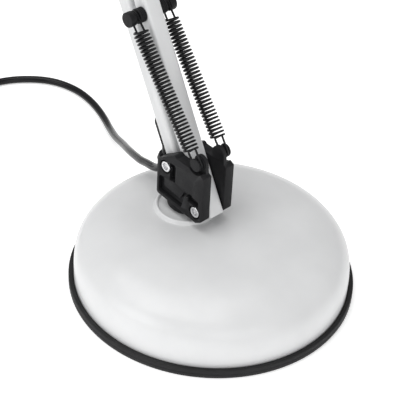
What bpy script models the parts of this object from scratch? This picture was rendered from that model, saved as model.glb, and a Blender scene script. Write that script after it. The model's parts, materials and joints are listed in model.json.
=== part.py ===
# Swing arm desk lamp: a weighted round base, a swivelling bracket, two
# parallelogram arms held by tension springs, and a tilting steel shade.
# The script works in millimetres and builds in metres: +Z up, +X to the lamp's
# front, +Y along the arm pivots. The origin is the middle of the base's underside.

import math

import bmesh
import bpy
from mathutils import Matrix, Vector

MM = 0.001
GAP = 0.3                 # left between two pieces that touch

# Base
BASE_RADIUS = 95.0        # outside of the rubber edge ring
RING_HEIGHT = 6.4
RING_WALL = 2.3
RING_LIP_REACH = 11.3     # how far the ring's lip reaches in under the dome
RING_LIP = 1.6
DOME_HEIGHT = 45.0        # crown above the table
DOME_SHEET = 1.2
DOME_SIDE_POWER = 3.24    # roundness of the shoulder, across and up
DOME_RISE_POWER = 4.11
PLATE_SHEET = 1.5
PLATE_FIT = 0.9963        # a seated disc against its seat: the seat's flats come in with its radius
PAD_THICKNESS = 2.0
WEIGHT_RADIUS = 78.0
WEIGHT_HEIGHT = 17.6
POST_OFFSET = -27.15      # the post stands behind the middle of the base
COLLAR_RADIUS = 21.9      # crest of the pressed collar round the post
COLLAR_RISE = 2.2
COLLAR_FLOOR = 0.6        # floor inside the collar, above the crown

# Swivel post and hub
POST_RADIUS = 4.0
POST_TOP = 61.5
POST_BOSS_RADIUS = 9.0
NUT_FLATS = 13.0
NUT_THICKNESS = 6.4
BUSH_FLANGE_RADIUS = 11.0
HUB_FLANGE_RADIUS = 13.0
HUB_FLANGE = 5.2
HUB_NECK_RADIUS = 6.0
HUB_BOTTOM = 48.0
HUB_TOP = 65.0

# Arms
BAR_WIDTH = 12.0          # square steel tube
BAR_WALL = 1.0
BAR_CORNER = 2.0
BAR_OVERHANG = 8.5        # tube left past each pivot
ARM_LENGTH = 380.0        # pivot to pivot, both arms
LOWER_LEAN = 28.2         # degrees back from upright
UPPER_RISE = 22.0         # degrees above level
REAR_PIVOT = (-34.8, 78.8)
FRONT_PIVOT = (-5.8, 58.6)
UPPER_PIVOT_STEP = (10.0, 24.0)     # from the lower arm's front pivot to the upper arm's
UPPER_PIVOT_SPACING = 22.0
UPPER_PIVOT_ANGLE = 100.0
TILT_REACH = 34.0         # from the upper arm's last pivot to the shade's
SLOT_REACH = 19.0         # from a pivot to the slot where the lead leaves a tube
SLOT_RADIUS = 3.4
SLOT_LENGTH = 1.75 * BAR_WIDTH

# Side plates and their screws
PLATE_GAP = BAR_WIDTH + 0.7
BRACKET_PLATE = 7.0
HEAD_PLATE = 5.0
SCREW_RADIUS = 2.5
SCREW_HEAD_RADIUS = 4.0
SCREW_HEAD = 2.0
BORE_PLAY = 0.3
PIVOT_PAD = 8.5           # plate left round a pivot

# Springs and their pegs
PEG_STEP = (-1.1, 37.7)   # from an arm's lower pivot to the peg on the plates
PEG_REACH = 132.2         # along the bar to the peg that it carries
PEG_RADIUS = 4.9
PEG_GROOVE_RADIUS = 3.2
PEG_GROOVE = 2.8
PLATE_PEG_RADIUS = 4.6
NOTCH_RADIUS = 7.3
LOW_HOOK_SIDE = BAR_WIDTH / 2 + 5.0      # the hooks' distance from the lamp's middle plane
HIGH_HOOK_SIDE = BAR_WIDTH / 2 + 6.5
BAR_PEG_END = HIGH_HOOK_SIDE + 6.3
SPRING_RADIUS = 5.2
WIRE_RADIUS = 0.6
HOOK_REACH = 10.0         # from a peg to the first turn of its spring

# Shade, down from the tilt pivot
KNUCKLE_RADIUS = 8.5
STEM_RADIUS = 7.0
CAP_TOP = 30.0
CAP_HEIGHT = 32.0
CAP_RADIUS = 25.0
SHADE_SHEET = 1.0
SOCKET_RADIUS = 19.0
NECK_RADIUS = SOCKET_RADIUS + 13.0
NECK_HEIGHT = 44.0
SHADE_RADIUS = 79.0
SHADE_HEIGHT = 140.0
VENT_COUNT = 8
SOCKET_DEPTH = 46.0
THREAD_RADIUS = 13.6
BUTTON_RADIUS = 4.0
KNOB_RADIUS = 11.0
KNOB_LENGTH = 12.0

# Mains lead
CORD_RADIUS = 2.8
COIL_CENTRE = (-250.0, -65.0)
COIL_RADIUS = 30.0        # middle of the turns
COIL_LIFT = 1.2           # the tie passes under the coil
TIE_THICKNESS = 0.9
CLIP_LENGTH = 4.4
TAIL_HEIGHT = 7.0         # the plug's middle above the table
EXIT_POINT = (-51.3, 0.0, 68.6)
CORD_SPACING = 6.5
LEAD_GAP = 0.5


# ---------------------------------------------------------------- scene set-up
def clear_scene():
    for old in list(bpy.data.objects):
        bpy.data.objects.remove(old, do_unlink=True)


def new_collection(name):
    made = bpy.data.collections.new(name)
    bpy.context.scene.collection.children.link(made)
    return made


clear_scene()
lamp = new_collection("swing_arm_desk_lamp")
tools = new_collection("cutters")


def finish(name, colour, roughness, metallic=0.0):
    """One Principled material."""
    made = bpy.data.materials.new(name)
    made.use_nodes = True
    shader = made.node_tree.nodes["Principled BSDF"]
    shader.inputs["Base Color"].default_value = (*colour, 1.0)
    shader.inputs["Roughness"].default_value = roughness
    shader.inputs["Metallic"].default_value = metallic
    return made


WHITE_PAINT = (0.68, 0.68, 0.67)
BLACK_PLASTIC = (0.03, 0.03, 0.032)
BRIGHT_STEEL = (0.62, 0.62, 0.6)
CAST_IRON = (0.12, 0.12, 0.12)
BLACK_RUBBER = (0.02, 0.02, 0.02)


# ------------------------------------------------------------------- modelling
def add(name, data, colour, roughness=0.5, metallic=0.0):
    """Links a piece into the lamp's collection with a material of its own."""
    made = bpy.data.objects.new(name, data)
    lamp.objects.link(made)
    if hasattr(data, "materials"):
        data.materials.append(finish(name + "_finish", colour, roughness, metallic))
    return made


def as_tool(piece):
    """Keeps a helper solid out of the lamp itself."""
    lamp.objects.unlink(piece)
    tools.objects.link(piece)
    piece.hide_render = True
    piece.display_type = "WIRE"
    return piece


def combine(piece, tool, operation):
    """A Boolean with a helper solid, kept as a modifier."""
    cut = piece.modifiers.new(operation.lower() + "_" + tool.name, "BOOLEAN")
    cut.operation = operation
    cut.solver = "EXACT"
    cut.object = tool


def turned(name, profile, steps, colour, roughness=0.5, metallic=0.0, closed=False):
    """Turns (radius, height) points about the piece's own Z axis."""
    mesh = bpy.data.meshes.new(name)
    points = [(radius * MM, 0.0, height * MM) for radius, height in profile]
    edges = [(i, i + 1) for i in range(len(points) - 1)]
    if closed:
        edges.append((len(points) - 1, 0))
    mesh.from_pydata(points, edges, [])
    piece = add(name, mesh, colour, roughness, metallic)
    turn = piece.modifiers.new("turn", "SCREW")
    turn.steps = steps
    turn.render_steps = steps
    turn.use_merge_vertices = True
    turn.merge_threshold = 0.00001
    turn.use_smooth_shade = True
    return piece


def as_solid(piece):
    """Makes a curve a closed mesh, so that it can be cut and joined."""
    bpy.context.view_layer.update()
    graph = bpy.context.evaluated_depsgraph_get()
    mesh = bpy.data.meshes.new_from_object(piece.evaluated_get(graph))
    shape = bmesh.new()
    shape.from_mesh(mesh)
    bmesh.ops.remove_doubles(shape, verts=shape.verts, dist=0.000002)
    bmesh.ops.recalc_face_normals(shape, faces=shape.faces)
    shape.to_mesh(mesh)
    shape.free()
    name = piece.name
    place = piece.matrix_world.copy()
    finishes = [slot.material for slot in piece.material_slots]
    bpy.data.objects.remove(piece, do_unlink=True)
    solid = bpy.data.objects.new(name, mesh)
    lamp.objects.link(solid)
    mesh.materials.clear()
    for material in finishes:
        mesh.materials.append(material)
    solid.matrix_world = place
    return solid


def extruded(name, outline, thickness, place, colour, roughness=0.5, metallic=0.0, hole=None):
    """A flat outline, with a hole in it if asked, given a thickness."""
    flat = bpy.data.curves.new(name, "CURVE")
    flat.dimensions = "2D"
    flat.fill_mode = "BOTH"
    flat.extrude = 0.5 * thickness * MM
    for loop in [outline, hole] if hole else [outline]:
        line = flat.splines.new("POLY")
        line.points.add(len(loop) - 1)
        for point, (across, up) in zip(line.points, loop):
            point.co = (across * MM, up * MM, 0.0, 1.0)
        line.use_cyclic_u = True
    piece = add(name, flat, colour, roughness, metallic)
    piece.matrix_world = place
    return as_solid(piece)


def tube(name, points, radius, colour, roughness=0.6, metallic=0.0, sides=2):
    """A round tube along points that are given in millimetres."""
    path = bpy.data.curves.new(name, "CURVE")
    path.dimensions = "3D"
    path.bevel_depth = radius * MM
    path.bevel_resolution = sides
    path.use_fill_caps = True
    line = path.splines.new("POLY")
    line.points.add(len(points) - 1)
    for point, place in zip(line.points, points):
        point.co = (place[0] * MM, place[1] * MM, place[2] * MM, 1.0)
    return add(name, path, colour, roughness, metallic)


def smooth_route(route, spacing):
    """Points a spacing apart on a smooth curve through the route's own points."""
    knots = [Vector(point) for point in route]
    knots = [2 * knots[0] - knots[1]] + knots + [2 * knots[-1] - knots[-2]]
    fine = []
    for i in range(1, len(knots) - 2):
        before, start, end, after = knots[i - 1:i + 3]
        for k in range(24):
            t = k / 24
            fine.append(0.5 * (2 * start + (end - before) * t
                               + (2 * before - 5 * start + 4 * end - after) * t * t
                               + (3 * start - before - 3 * end + after) * t ** 3))
    fine.append(knots[-2])
    reached = [0.0]
    for a, b in zip(fine, fine[1:]):
        reached.append(reached[-1] + (b - a).length)
    count = max(2, round(reached[-1] / spacing))
    points = []
    at = 0
    for k in range(count + 1):
        wanted = reached[-1] * k / count
        while at < len(fine) - 2 and reached[at + 1] < wanted:
            at += 1
        part = (wanted - reached[at]) / max(reached[at + 1] - reached[at], 1e-9)
        points.append(fine[at].lerp(fine[at + 1], min(part, 1.0)))
    return points


def hull(discs, arc_points=14):
    """The outline that a band would take round discs (x, z, radius)."""
    cloud = []
    for x, z, radius in discs:
        for k in range(arc_points):
            angle = 2 * math.pi * (k + 0.5) / arc_points
            cloud.append((x + radius * math.cos(angle), z + radius * math.sin(angle)))
    cloud.sort()

    def chain(points):
        kept = []
        for point in points:
            while len(kept) > 1:
                (ax, az), (bx, bz) = kept[-2:]
                if (bx - ax) * (point[1] - az) - (bz - az) * (point[0] - ax) > 1e-6:
                    break
                kept.pop()
            kept.append(point)
        return kept[:-1]

    return chain(cloud) + chain(cloud[::-1])


def rounded(corners, arc_steps=4):
    """A closed outline from corners (x, z, fillet radius), in order round it."""
    outline = []
    for i, (x, z, radius) in enumerate(corners):
        here = Vector((x, z))
        before = (Vector(corners[i - 1][:2]) - here).normalized()
        after = (Vector(corners[(i + 1) % len(corners)][:2]) - here).normalized()
        half = 0.5 * before.angle(after)
        if radius <= 0.0 or half > math.radians(88):
            outline.append((x, z))
            continue
        centre = here + (before + after).normalized() * (radius / math.sin(half))
        start = here + before * (radius / math.tan(half)) - centre
        end = here + after * (radius / math.tan(half)) - centre
        turn = math.atan2(start.x * end.y - start.y * end.x, start.dot(end))
        for k in range(arc_steps + 1):
            angle = turn * k / arc_steps
            outline.append((centre.x + start.x * math.cos(angle) - start.y * math.sin(angle),
                            centre.y + start.x * math.sin(angle) + start.y * math.cos(angle)))
    return outline


def upright(side_position=0.0):
    """Stands an outline up in the lamp's XZ plane, at a distance along Y."""
    return Matrix.Translation((0, side_position * MM, 0)) @ Matrix.Rotation(math.pi / 2, 4, "X")


def along_y(point, side=-1):
    """Lays a turned piece's axis along Y, through an (x, z) point, its top to that side."""
    turn = Matrix.Rotation(-side * math.pi / 2, 4, "X")
    return Matrix.Translation((point[0] * MM, 0, point[1] * MM)) @ turn


def step(point, direction, distance):
    return (point[0] + direction[0] * distance, point[1] + direction[1] * distance)


def sum2(a, b):
    return (a[0] + b[0], a[1] + b[1])


def hang_on(axis, pieces):
    """Parents pieces to the empty on their joint's axis, where they stand."""
    bpy.context.view_layer.update()
    for piece in pieces:
        piece.parent = axis
        piece.matrix_parent_inverse = axis.matrix_world.inverted()


def joint_axis(name, x, z, y=0.0):
    empty = bpy.data.objects.new(name, None)
    empty.location = (x * MM, y * MM, z * MM)
    lamp.objects.link(empty)
    return empty


# -------------------------------------------------------- places worked out once
LEAN = math.radians(LOWER_LEAN)
RISE = math.radians(UPPER_RISE)
LOWER_WAY = (-math.sin(LEAN), math.cos(LEAN))
LOWER_FACE = (math.cos(LEAN), math.sin(LEAN))      # towards the lamp's front
UPPER_WAY = (math.cos(RISE), math.sin(RISE))
UPPER_FACE = (-math.sin(RISE), math.cos(RISE))     # upwards
ELBOW_REAR = step(REAR_PIVOT, LOWER_WAY, ARM_LENGTH)
ELBOW_FRONT = step(FRONT_PIVOT, LOWER_WAY, ARM_LENGTH)
UPPER_LOW = sum2(ELBOW_FRONT, UPPER_PIVOT_STEP)
UPPER_STEP = (math.cos(math.radians(UPPER_PIVOT_ANGLE)), math.sin(math.radians(UPPER_PIVOT_ANGLE)))
UPPER_HIGH = step(UPPER_LOW, UPPER_STEP, UPPER_PIVOT_SPACING)
HEAD_LOW = step(UPPER_LOW, UPPER_WAY, ARM_LENGTH)
HEAD_HIGH = step(UPPER_HIGH, UPPER_WAY, ARM_LENGTH)
TILT = (HEAD_LOW[0] + TILT_REACH, HEAD_LOW[1])
LOWER_PLATE_PEG = sum2(FRONT_PIVOT, PEG_STEP)
UPPER_PLATE_PEG = sum2(UPPER_LOW, PEG_STEP)
LOWER_BAR_PEG = step(FRONT_PIVOT, LOWER_WAY, PEG_REACH)
UPPER_BAR_PEG = step(UPPER_LOW, UPPER_WAY, PEG_REACH)
INNER = PLATE_GAP / 2
OUTER = INNER + BRACKET_PLATE
HEAD_OUTER = INNER + HEAD_PLATE
DOME_RADIUS = BASE_RADIUS - RING_WALL - GAP
PLATE_BOTTOM = PAD_THICKNESS + GAP
WEIGHT_BOTTOM = PLATE_BOTTOM + PLATE_SHEET + GAP
WEIGHT_TOP = WEIGHT_BOTTOM + WEIGHT_HEIGHT
COLLAR_TOP = DOME_HEIGHT + COLLAR_FLOOR


# ------------------------------------------------------------------------- base
def edge_ring():
    inside = BASE_RADIUS - RING_WALL
    lip = BASE_RADIUS - RING_LIP_REACH
    profile = [(inside, RING_HEIGHT), (BASE_RADIUS - 0.7, RING_HEIGHT), (BASE_RADIUS, RING_HEIGHT - 0.7),
               (BASE_RADIUS, 0.8), (BASE_RADIUS - 0.8, 0.0), (lip, 0.0), (lip, RING_LIP), (inside, RING_LIP)]
    return turned("base_edge_ring", profile, 40, BLACK_RUBBER, 0.7, closed=True)


def dome_curve(radius, rise, points):
    """Half of the dome's rounded outline, from the crown out to the side."""
    outline = []
    for k in range(points + 1):
        angle = 0.5 * math.pi * (1 - k / points)
        outline.append((radius * math.cos(angle) ** (2 / DOME_SIDE_POWER) if k else 0.0,
                        RING_HEIGHT + rise * math.sin(angle) ** (2 / DOME_RISE_POWER) if k < points else RING_HEIGHT))
    return outline


def base_dome():
    rise = DOME_HEIGHT - RING_HEIGHT
    skirt = RING_LIP + GAP
    outside = dome_curve(DOME_RADIUS, rise, 8)
    inside = dome_curve(DOME_RADIUS - DOME_SHEET, rise - DOME_SHEET, 5)
    profile = outside + [(DOME_RADIUS, skirt), (DOME_RADIUS - DOME_SHEET, skirt)] + inside[::-1]
    dome = turned("base_dome", profile, 40, WHITE_PAINT, 0.4)
    crest = DOME_HEIGHT + COLLAR_RISE
    under = DOME_HEIGHT - 3.5
    collar = [(0.0, COLLAR_TOP), (COLLAR_RADIUS - 2.4, COLLAR_TOP), (COLLAR_RADIUS - 1.1, crest - 0.4),
              (COLLAR_RADIUS, crest), (COLLAR_RADIUS + 1.1, crest - 0.5), (COLLAR_RADIUS + 2.8, under + 1.0),
              (COLLAR_RADIUS + 2.8, under), (0.0, under)]
    boss = as_tool(turned("collar_boss", collar, 24, WHITE_PAINT))
    boss.location.x = POST_OFFSET * MM
    combine(dome, boss, "UNION")
    hole_radius = POST_RADIUS + 2.0
    hole = as_tool(turned("bush_hole", [(0.0, crest + 4), (hole_radius, crest + 4), (hole_radius, under - 4),
                                        (0.0, under - 4)], 24, WHITE_PAINT))
    hole.location.x = POST_OFFSET * MM
    combine(dome, hole, "DIFFERENCE")
    return dome


def base_weight():
    profile = [(0.0, WEIGHT_TOP), (WEIGHT_RADIUS - 8, WEIGHT_TOP), (WEIGHT_RADIUS, WEIGHT_TOP - 6),
               (WEIGHT_RADIUS, WEIGHT_BOTTOM), (0.0, WEIGHT_BOTTOM)]
    weight = turned("base_weight", profile, 48, CAST_IRON, 0.7, 0.6)
    seat = WEIGHT_BOTTOM + 11.0
    bore = POST_RADIUS + BORE_PLAY
    cut = [(0.0, WEIGHT_TOP + 2), (bore, WEIGHT_TOP + 2), (bore, seat), (NUT_FLATS, seat),
           (NUT_FLATS, WEIGHT_BOTTOM - 2), (0.0, WEIGHT_BOTTOM - 2)]
    hole = as_tool(turned("post_bore", cut, 24, CAST_IRON))
    hole.location.x = POST_OFFSET * MM
    combine(weight, hole, "DIFFERENCE")
    return weight


def base_plate():
    radius = (DOME_RADIUS - DOME_SHEET) * PLATE_FIT
    profile = [(0.0, PLATE_BOTTOM + PLATE_SHEET), (radius, PLATE_BOTTOM + PLATE_SHEET),
               (radius, PLATE_BOTTOM), (0.0, PLATE_BOTTOM)]
    return turned("base_plate", profile, 48, BRIGHT_STEEL, 0.5, 0.8)


def base_pad():
    radius = (BASE_RADIUS - RING_LIP_REACH) * PLATE_FIT
    profile = [(0.0, PAD_THICKNESS), (radius, PAD_THICKNESS), (radius, 0.0), (0.0, 0.0)]
    return turned("base_pad", profile, 48, BLACK_RUBBER, 0.9)


def swivel_post():
    """A steel post whose boss stands on the weight and carries the dome."""
    boss_top = DOME_HEIGHT - 7.5
    bottom = WEIGHT_BOTTOM + 2.5
    profile = [(0.0, POST_TOP), (POST_RADIUS - 0.8, POST_TOP), (POST_RADIUS, POST_TOP - 0.8),
               (POST_RADIUS, boss_top), (POST_BOSS_RADIUS, boss_top), (POST_BOSS_RADIUS, WEIGHT_TOP + GAP),
               (POST_RADIUS, WEIGHT_TOP + GAP), (POST_RADIUS, bottom), (0.0, bottom)]
    post = turned("swivel_post", profile, 24, BRIGHT_STEEL, 0.3, 1.0)
    post.location.x = POST_OFFSET * MM
    return post


def post_nut():
    seat = WEIGHT_BOTTOM + 11.0 - GAP
    nut = turned("post_nut", [(POST_RADIUS + BORE_PLAY, seat), (0.58 * NUT_FLATS, seat),
                              (0.58 * NUT_FLATS, seat - NUT_THICKNESS), (POST_RADIUS + BORE_PLAY, seat - NUT_THICKNESS)],
                 6, BRIGHT_STEEL, 0.35, 1.0, closed=True)
    nut.location.x = POST_OFFSET * MM
    nut.modifiers["turn"].use_smooth_shade = False
    bore = as_tool(turned("nut_bore", [(0.0, seat + 2), (POST_RADIUS + BORE_PLAY, seat + 2),
                                       (POST_RADIUS + BORE_PLAY, seat - 9), (0.0, seat - 9)], 24, BRIGHT_STEEL))
    bore.location.x = POST_OFFSET * MM
    combine(nut, bore, "DIFFERENCE")
    return nut


def post_bush():
    bore = POST_RADIUS + BORE_PLAY
    body = POST_RADIUS + 2.0 - GAP
    top = HUB_BOTTOM - GAP
    flange = COLLAR_TOP + GAP
    profile = [(bore, top), (BUSH_FLANGE_RADIUS, top), (BUSH_FLANGE_RADIUS, flange), (body, flange),
               (body, DOME_HEIGHT - 7.0), (bore, DOME_HEIGHT - 7.0)]
    bush = turned("post_bush", profile, 24, BLACK_PLASTIC, closed=True)
    bush.location.x = POST_OFFSET * MM
    return bush


# ---------------------------------------------------------- side plates and pegs
def screw_bore(name, point, side, outer):
    """The stepped hole for a pivot screw: a shank bore and a recess for the head."""
    shank = SCREW_RADIUS + BORE_PLAY
    recess = SCREW_HEAD_RADIUS + 1.0
    floor = outer - SCREW_HEAD - GAP
    profile = [(0.0, outer + 1), (recess, outer + 1), (recess, floor), (shank, floor),
               (shank, INNER - 1), (0.0, INNER - 1)]
    tool = as_tool(turned(name, profile, 12, BLACK_PLASTIC))
    tool.matrix_world = along_y(point, side)
    return tool


def side_plate(name, outline, side, thickness, screws, peg=None, root=None):
    """One black side plate with its recessed screw holes and, where asked, a spring peg."""
    outer = INNER + thickness
    plate = extruded(name, outline, thickness, upright(side * (INNER + outer) / 2), BLACK_PLASTIC, 0.45)
    if peg:
        notch = as_tool(turned(name + "_notch", [(0.0, outer + 1), (NOTCH_RADIUS, outer + 1),
                                                 (NOTCH_RADIUS, LOW_HOOK_SIDE - 2.6), (0.0, LOW_HOOK_SIDE - 2.6)],
                               20, BLACK_PLASTIC))
        notch.matrix_world = along_y(peg, side)
        combine(plate, notch, "DIFFERENCE")
        web_out = LOW_HOOK_SIDE - 2.0
        web_in = INNER + 0.15
        web = extruded(name + "_web", hull([(*peg, PLATE_PEG_RADIUS + 0.7), (*root, 6.0)], 12), web_out - web_in,
                       upright(side * (web_in + web_out) / 2), BLACK_PLASTIC)
        combine(plate, as_tool(web), "UNION")
        groove_in = LOW_HOOK_SIDE - PEG_GROOVE / 2
        groove_out = LOW_HOOK_SIDE + PEG_GROOVE / 2
        end = outer + 0.4
        spool = [(0.0, end), (PLATE_PEG_RADIUS - 0.5, end), (PLATE_PEG_RADIUS, end - 0.4),
                 (PLATE_PEG_RADIUS, groove_out), (PEG_GROOVE_RADIUS, groove_out), (PEG_GROOVE_RADIUS, groove_in),
                 (PLATE_PEG_RADIUS - 0.3, groove_in), (PLATE_PEG_RADIUS - 0.3, web_in + 0.3), (0.0, web_in + 0.3)]
        stub = as_tool(turned(name + "_peg", spool, 12, BLACK_PLASTIC))
        stub.matrix_world = along_y(peg, side)
        combine(plate, stub, "UNION")
    for i, point in enumerate(screws):
        combine(plate, screw_bore(name + "_bore%d" % i, point, side, outer), "DIFFERENCE")
    return plate


def bar_peg(name, point, side):
    """A grooved spool whose shank sits in the bar."""
    start = BAR_WIDTH / 2 + GAP
    groove_in = HIGH_HOOK_SIDE - PEG_GROOVE / 2
    groove_out = HIGH_HOOK_SIDE + PEG_GROOVE / 2
    profile = [(0.0, BAR_PEG_END), (PEG_RADIUS - 0.8, BAR_PEG_END), (PEG_RADIUS, BAR_PEG_END - 0.8),
               (PEG_RADIUS, groove_out), (PEG_GROOVE_RADIUS, groove_out), (PEG_GROOVE_RADIUS, groove_in),
               (PEG_RADIUS, groove_in), (PEG_RADIUS, start), (SCREW_RADIUS - 0.2, start), (SCREW_RADIUS - 0.2, GAP),
               (0.0, GAP)]
    peg = turned(name, profile, 14, BLACK_PLASTIC, 0.4)
    peg.matrix_world = along_y(point, side)
    return peg


def pivot_screw(name, point, outer, length):
    """A pan-headed screw, its head in the near plate, that reaches `length` past the middle."""
    face = outer - 0.2
    under = face - SCREW_HEAD
    profile = [(0.0, face), (SCREW_HEAD_RADIUS - 0.7, face), (SCREW_HEAD_RADIUS, face - 0.6),
               (SCREW_HEAD_RADIUS, under), (SCREW_RADIUS, under), (SCREW_RADIUS, -length), (0.0, -length)]
    screw = turned(name, profile, 16, BRIGHT_STEEL, 0.25, 1.0)
    screw.matrix_world = along_y(point)
    return screw


def pivot_nut(name, point, outer):
    bore = SCREW_RADIUS + BORE_PLAY
    face = outer - 0.2
    nut = turned(name, [(bore, face), (SCREW_HEAD_RADIUS, face), (SCREW_HEAD_RADIUS, face - SCREW_HEAD),
                        (bore, face - SCREW_HEAD)], 16, BRIGHT_STEEL, 0.3, 1.0, closed=True)
    nut.matrix_world = along_y(point, 1)
    return nut


def pivot_rivet(name, point, outer):
    """A shouldered rivet with a head in each plate's recess."""
    face = outer - 0.2
    under = face - SCREW_HEAD
    half = [(0.0, face), (SCREW_HEAD_RADIUS, face), (SCREW_HEAD_RADIUS, under), (SCREW_RADIUS, under)]
    profile = half + [(radius, -height) for radius, height in half[::-1]]
    rivet = turned(name, profile, 12, BRIGHT_STEEL, 0.25, 1.0)
    rivet.matrix_world = along_y(point)
    return rivet


# ------------------------------------------------------------------------- arms
def bar(name, start, way, face, holes, slots=(), slot_face=1):
    """A square tube along an arm, drilled for its pivots and slotted for the lead."""
    half = BAR_WIDTH / 2
    inner = 1 - BAR_WALL / half
    corners = [(-half, -half), (half, -half), (half, half), (-half, half)]
    outside = rounded([(x, y, BAR_CORNER) for x, y in corners], 3)
    inside = [(x * inner, y * inner) for x, y in corners]
    middle = step(start, way, ARM_LENGTH / 2)
    frame = Matrix(((face[0], 0, way[0], middle[0] * MM), (0, 1, 0, 0),
                    (face[1], 0, way[1], middle[1] * MM), (0, 0, 0, 1)))
    length = ARM_LENGTH + 2 * BAR_OVERHANG
    tube_bar = extruded(name, outside, length, frame, WHITE_PAINT, 0.35, 0.1)
    core = as_tool(extruded(name + "_core", inside, length + 4, frame, WHITE_PAINT))
    combine(tube_bar, core, "DIFFERENCE")
    for i, (reach, radius) in enumerate(holes):
        profile = [(0.0, BAR_WIDTH), (radius, BAR_WIDTH), (radius, -BAR_WIDTH), (0.0, -BAR_WIDTH)]
        drill = as_tool(turned(name + "_drill%d" % i, profile, 12, WHITE_PAINT))
        drill.matrix_world = along_y(step(start, way, reach))
        combine(tube_bar, drill, "DIFFERENCE")
    for i, reach in enumerate(slots):
        spread = SLOT_LENGTH / 2 - SLOT_RADIUS
        outline = hull([(-spread, 0.0, SLOT_RADIUS), (spread, 0.0, SLOT_RADIUS)], 12)
        at = step(step(start, way, reach), face, slot_face * half)
        place = Matrix(((way[0], 0, face[0], at[0] * MM), (0, -1, 0, 0),
                        (way[1], 0, face[1], at[1] * MM), (0, 0, 0, 1)))
        slot = extruded(name + "_slot%d" % i, outline, 4.0, place, WHITE_PAINT)
        combine(tube_bar, as_tool(slot), "DIFFERENCE")
    return tube_bar


def spring(name, low, high, side):
    """A tension spring as a plain sleeve of its outer size, with a hook round each peg."""
    start = Vector((low[0], side * LOW_HOOK_SIDE, low[1]))
    end = Vector((high[0], side * HIGH_HOOK_SIDE, high[1]))
    way = (end - start).normalized()
    sleeve_low = start + way * HOOK_REACH
    sleeve_high = end - way * HOOK_REACH
    half = 0.5 * (sleeve_high - sleeve_low).length
    sleeve = turned(name, [(0.0, half), (SPRING_RADIUS, half), (SPRING_RADIUS, -half), (0.0, -half)], 12,
                    BLACK_PLASTIC, 0.4, 0.8)
    lie = Vector((0, 0, 1)).rotation_difference(way).to_matrix().to_4x4()
    sleeve.matrix_world = Matrix.Translation(0.5 * (sleeve_low + sleeve_high) * MM) @ lie
    loop = PEG_GROOVE_RADIUS + WIRE_RADIUS + GAP
    for label, peg, towards in (("low", start, way), ("high", end, -way)):
        heading = math.atan2(towards.z, towards.x)
        hook = []
        for k in range(8):
            angle = heading + math.radians(40 + 40 * k)
            hook.append(peg + Vector((math.cos(angle), 0, math.sin(angle))) * loop)
        hook.append(peg + towards * (HOOK_REACH + 2.0))
        wire = as_solid(tube(name + "_" + label, hook, WIRE_RADIUS, BLACK_PLASTIC, sides=1))
        combine(sleeve, as_tool(wire), "UNION")
    return sleeve


# ----------------------------------------------------------------- lead and clips
def nearest_on(route, place):
    """The point of a lead's smooth curve nearest to a place, and the way it runs there."""
    points = smooth_route(route, 0.5)
    best = min(range(1, len(points) - 1), key=lambda i: math.hypot(points[i][0] - place[0], points[i][2] - place[1]))
    run = (Vector(points[best + 1]) - Vector(points[best - 1])).normalized()
    return (points[best][0], points[best][2]), (run.x, run.z)


def clip(name, route, place, root, half_width=5.0):
    """A ring round the lead on a tongue that sits between two side plates."""
    at, way = nearest_on(route, place)
    bore = CORD_RADIUS + 2 * GAP
    wall = bore + 1.5
    half = CLIP_LENGTH / 2
    ring = turned(name, [(bore, half), (wall, half), (wall, -half), (bore, -half)], 14, BLACK_PLASTIC, closed=True)
    lie = Vector((0, 0, 1)).rotation_difference(Vector((way[0], 0, way[1])).normalized()).to_matrix().to_4x4()
    place = Matrix.Translation((at[0] * MM, 0, at[1] * MM)) @ lie
    ring.matrix_world = place
    towards = (root[0] - at[0], root[1] - at[1])
    reach = math.hypot(*towards)
    near = step(at, (towards[0] / reach, towards[1] / reach), bore + 1.0)
    tongue = as_tool(extruded(name + "_tongue", hull([(*near, 2.2), (*root, 3.0)], 8), 2 * half_width,
                              upright(), BLACK_PLASTIC))
    combine(ring, tongue, "UNION")
    bore_tool = as_tool(turned(name + "_bore", [(0.0, 9), (bore, 9), (bore, -9), (0.0, -9)], 14, BLACK_PLASTIC))
    bore_tool.matrix_world = place
    combine(ring, bore_tool, "DIFFERENCE")
    return ring


def lead(name, route, spacing=7.0):
    """A stretch of the mains lead that the lamp holds."""
    return tube(name, smooth_route(route, spacing), CORD_RADIUS, BLACK_PLASTIC)


def flat_route(points):
    return [(x, 0.0, z) for x, z in points]


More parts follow.
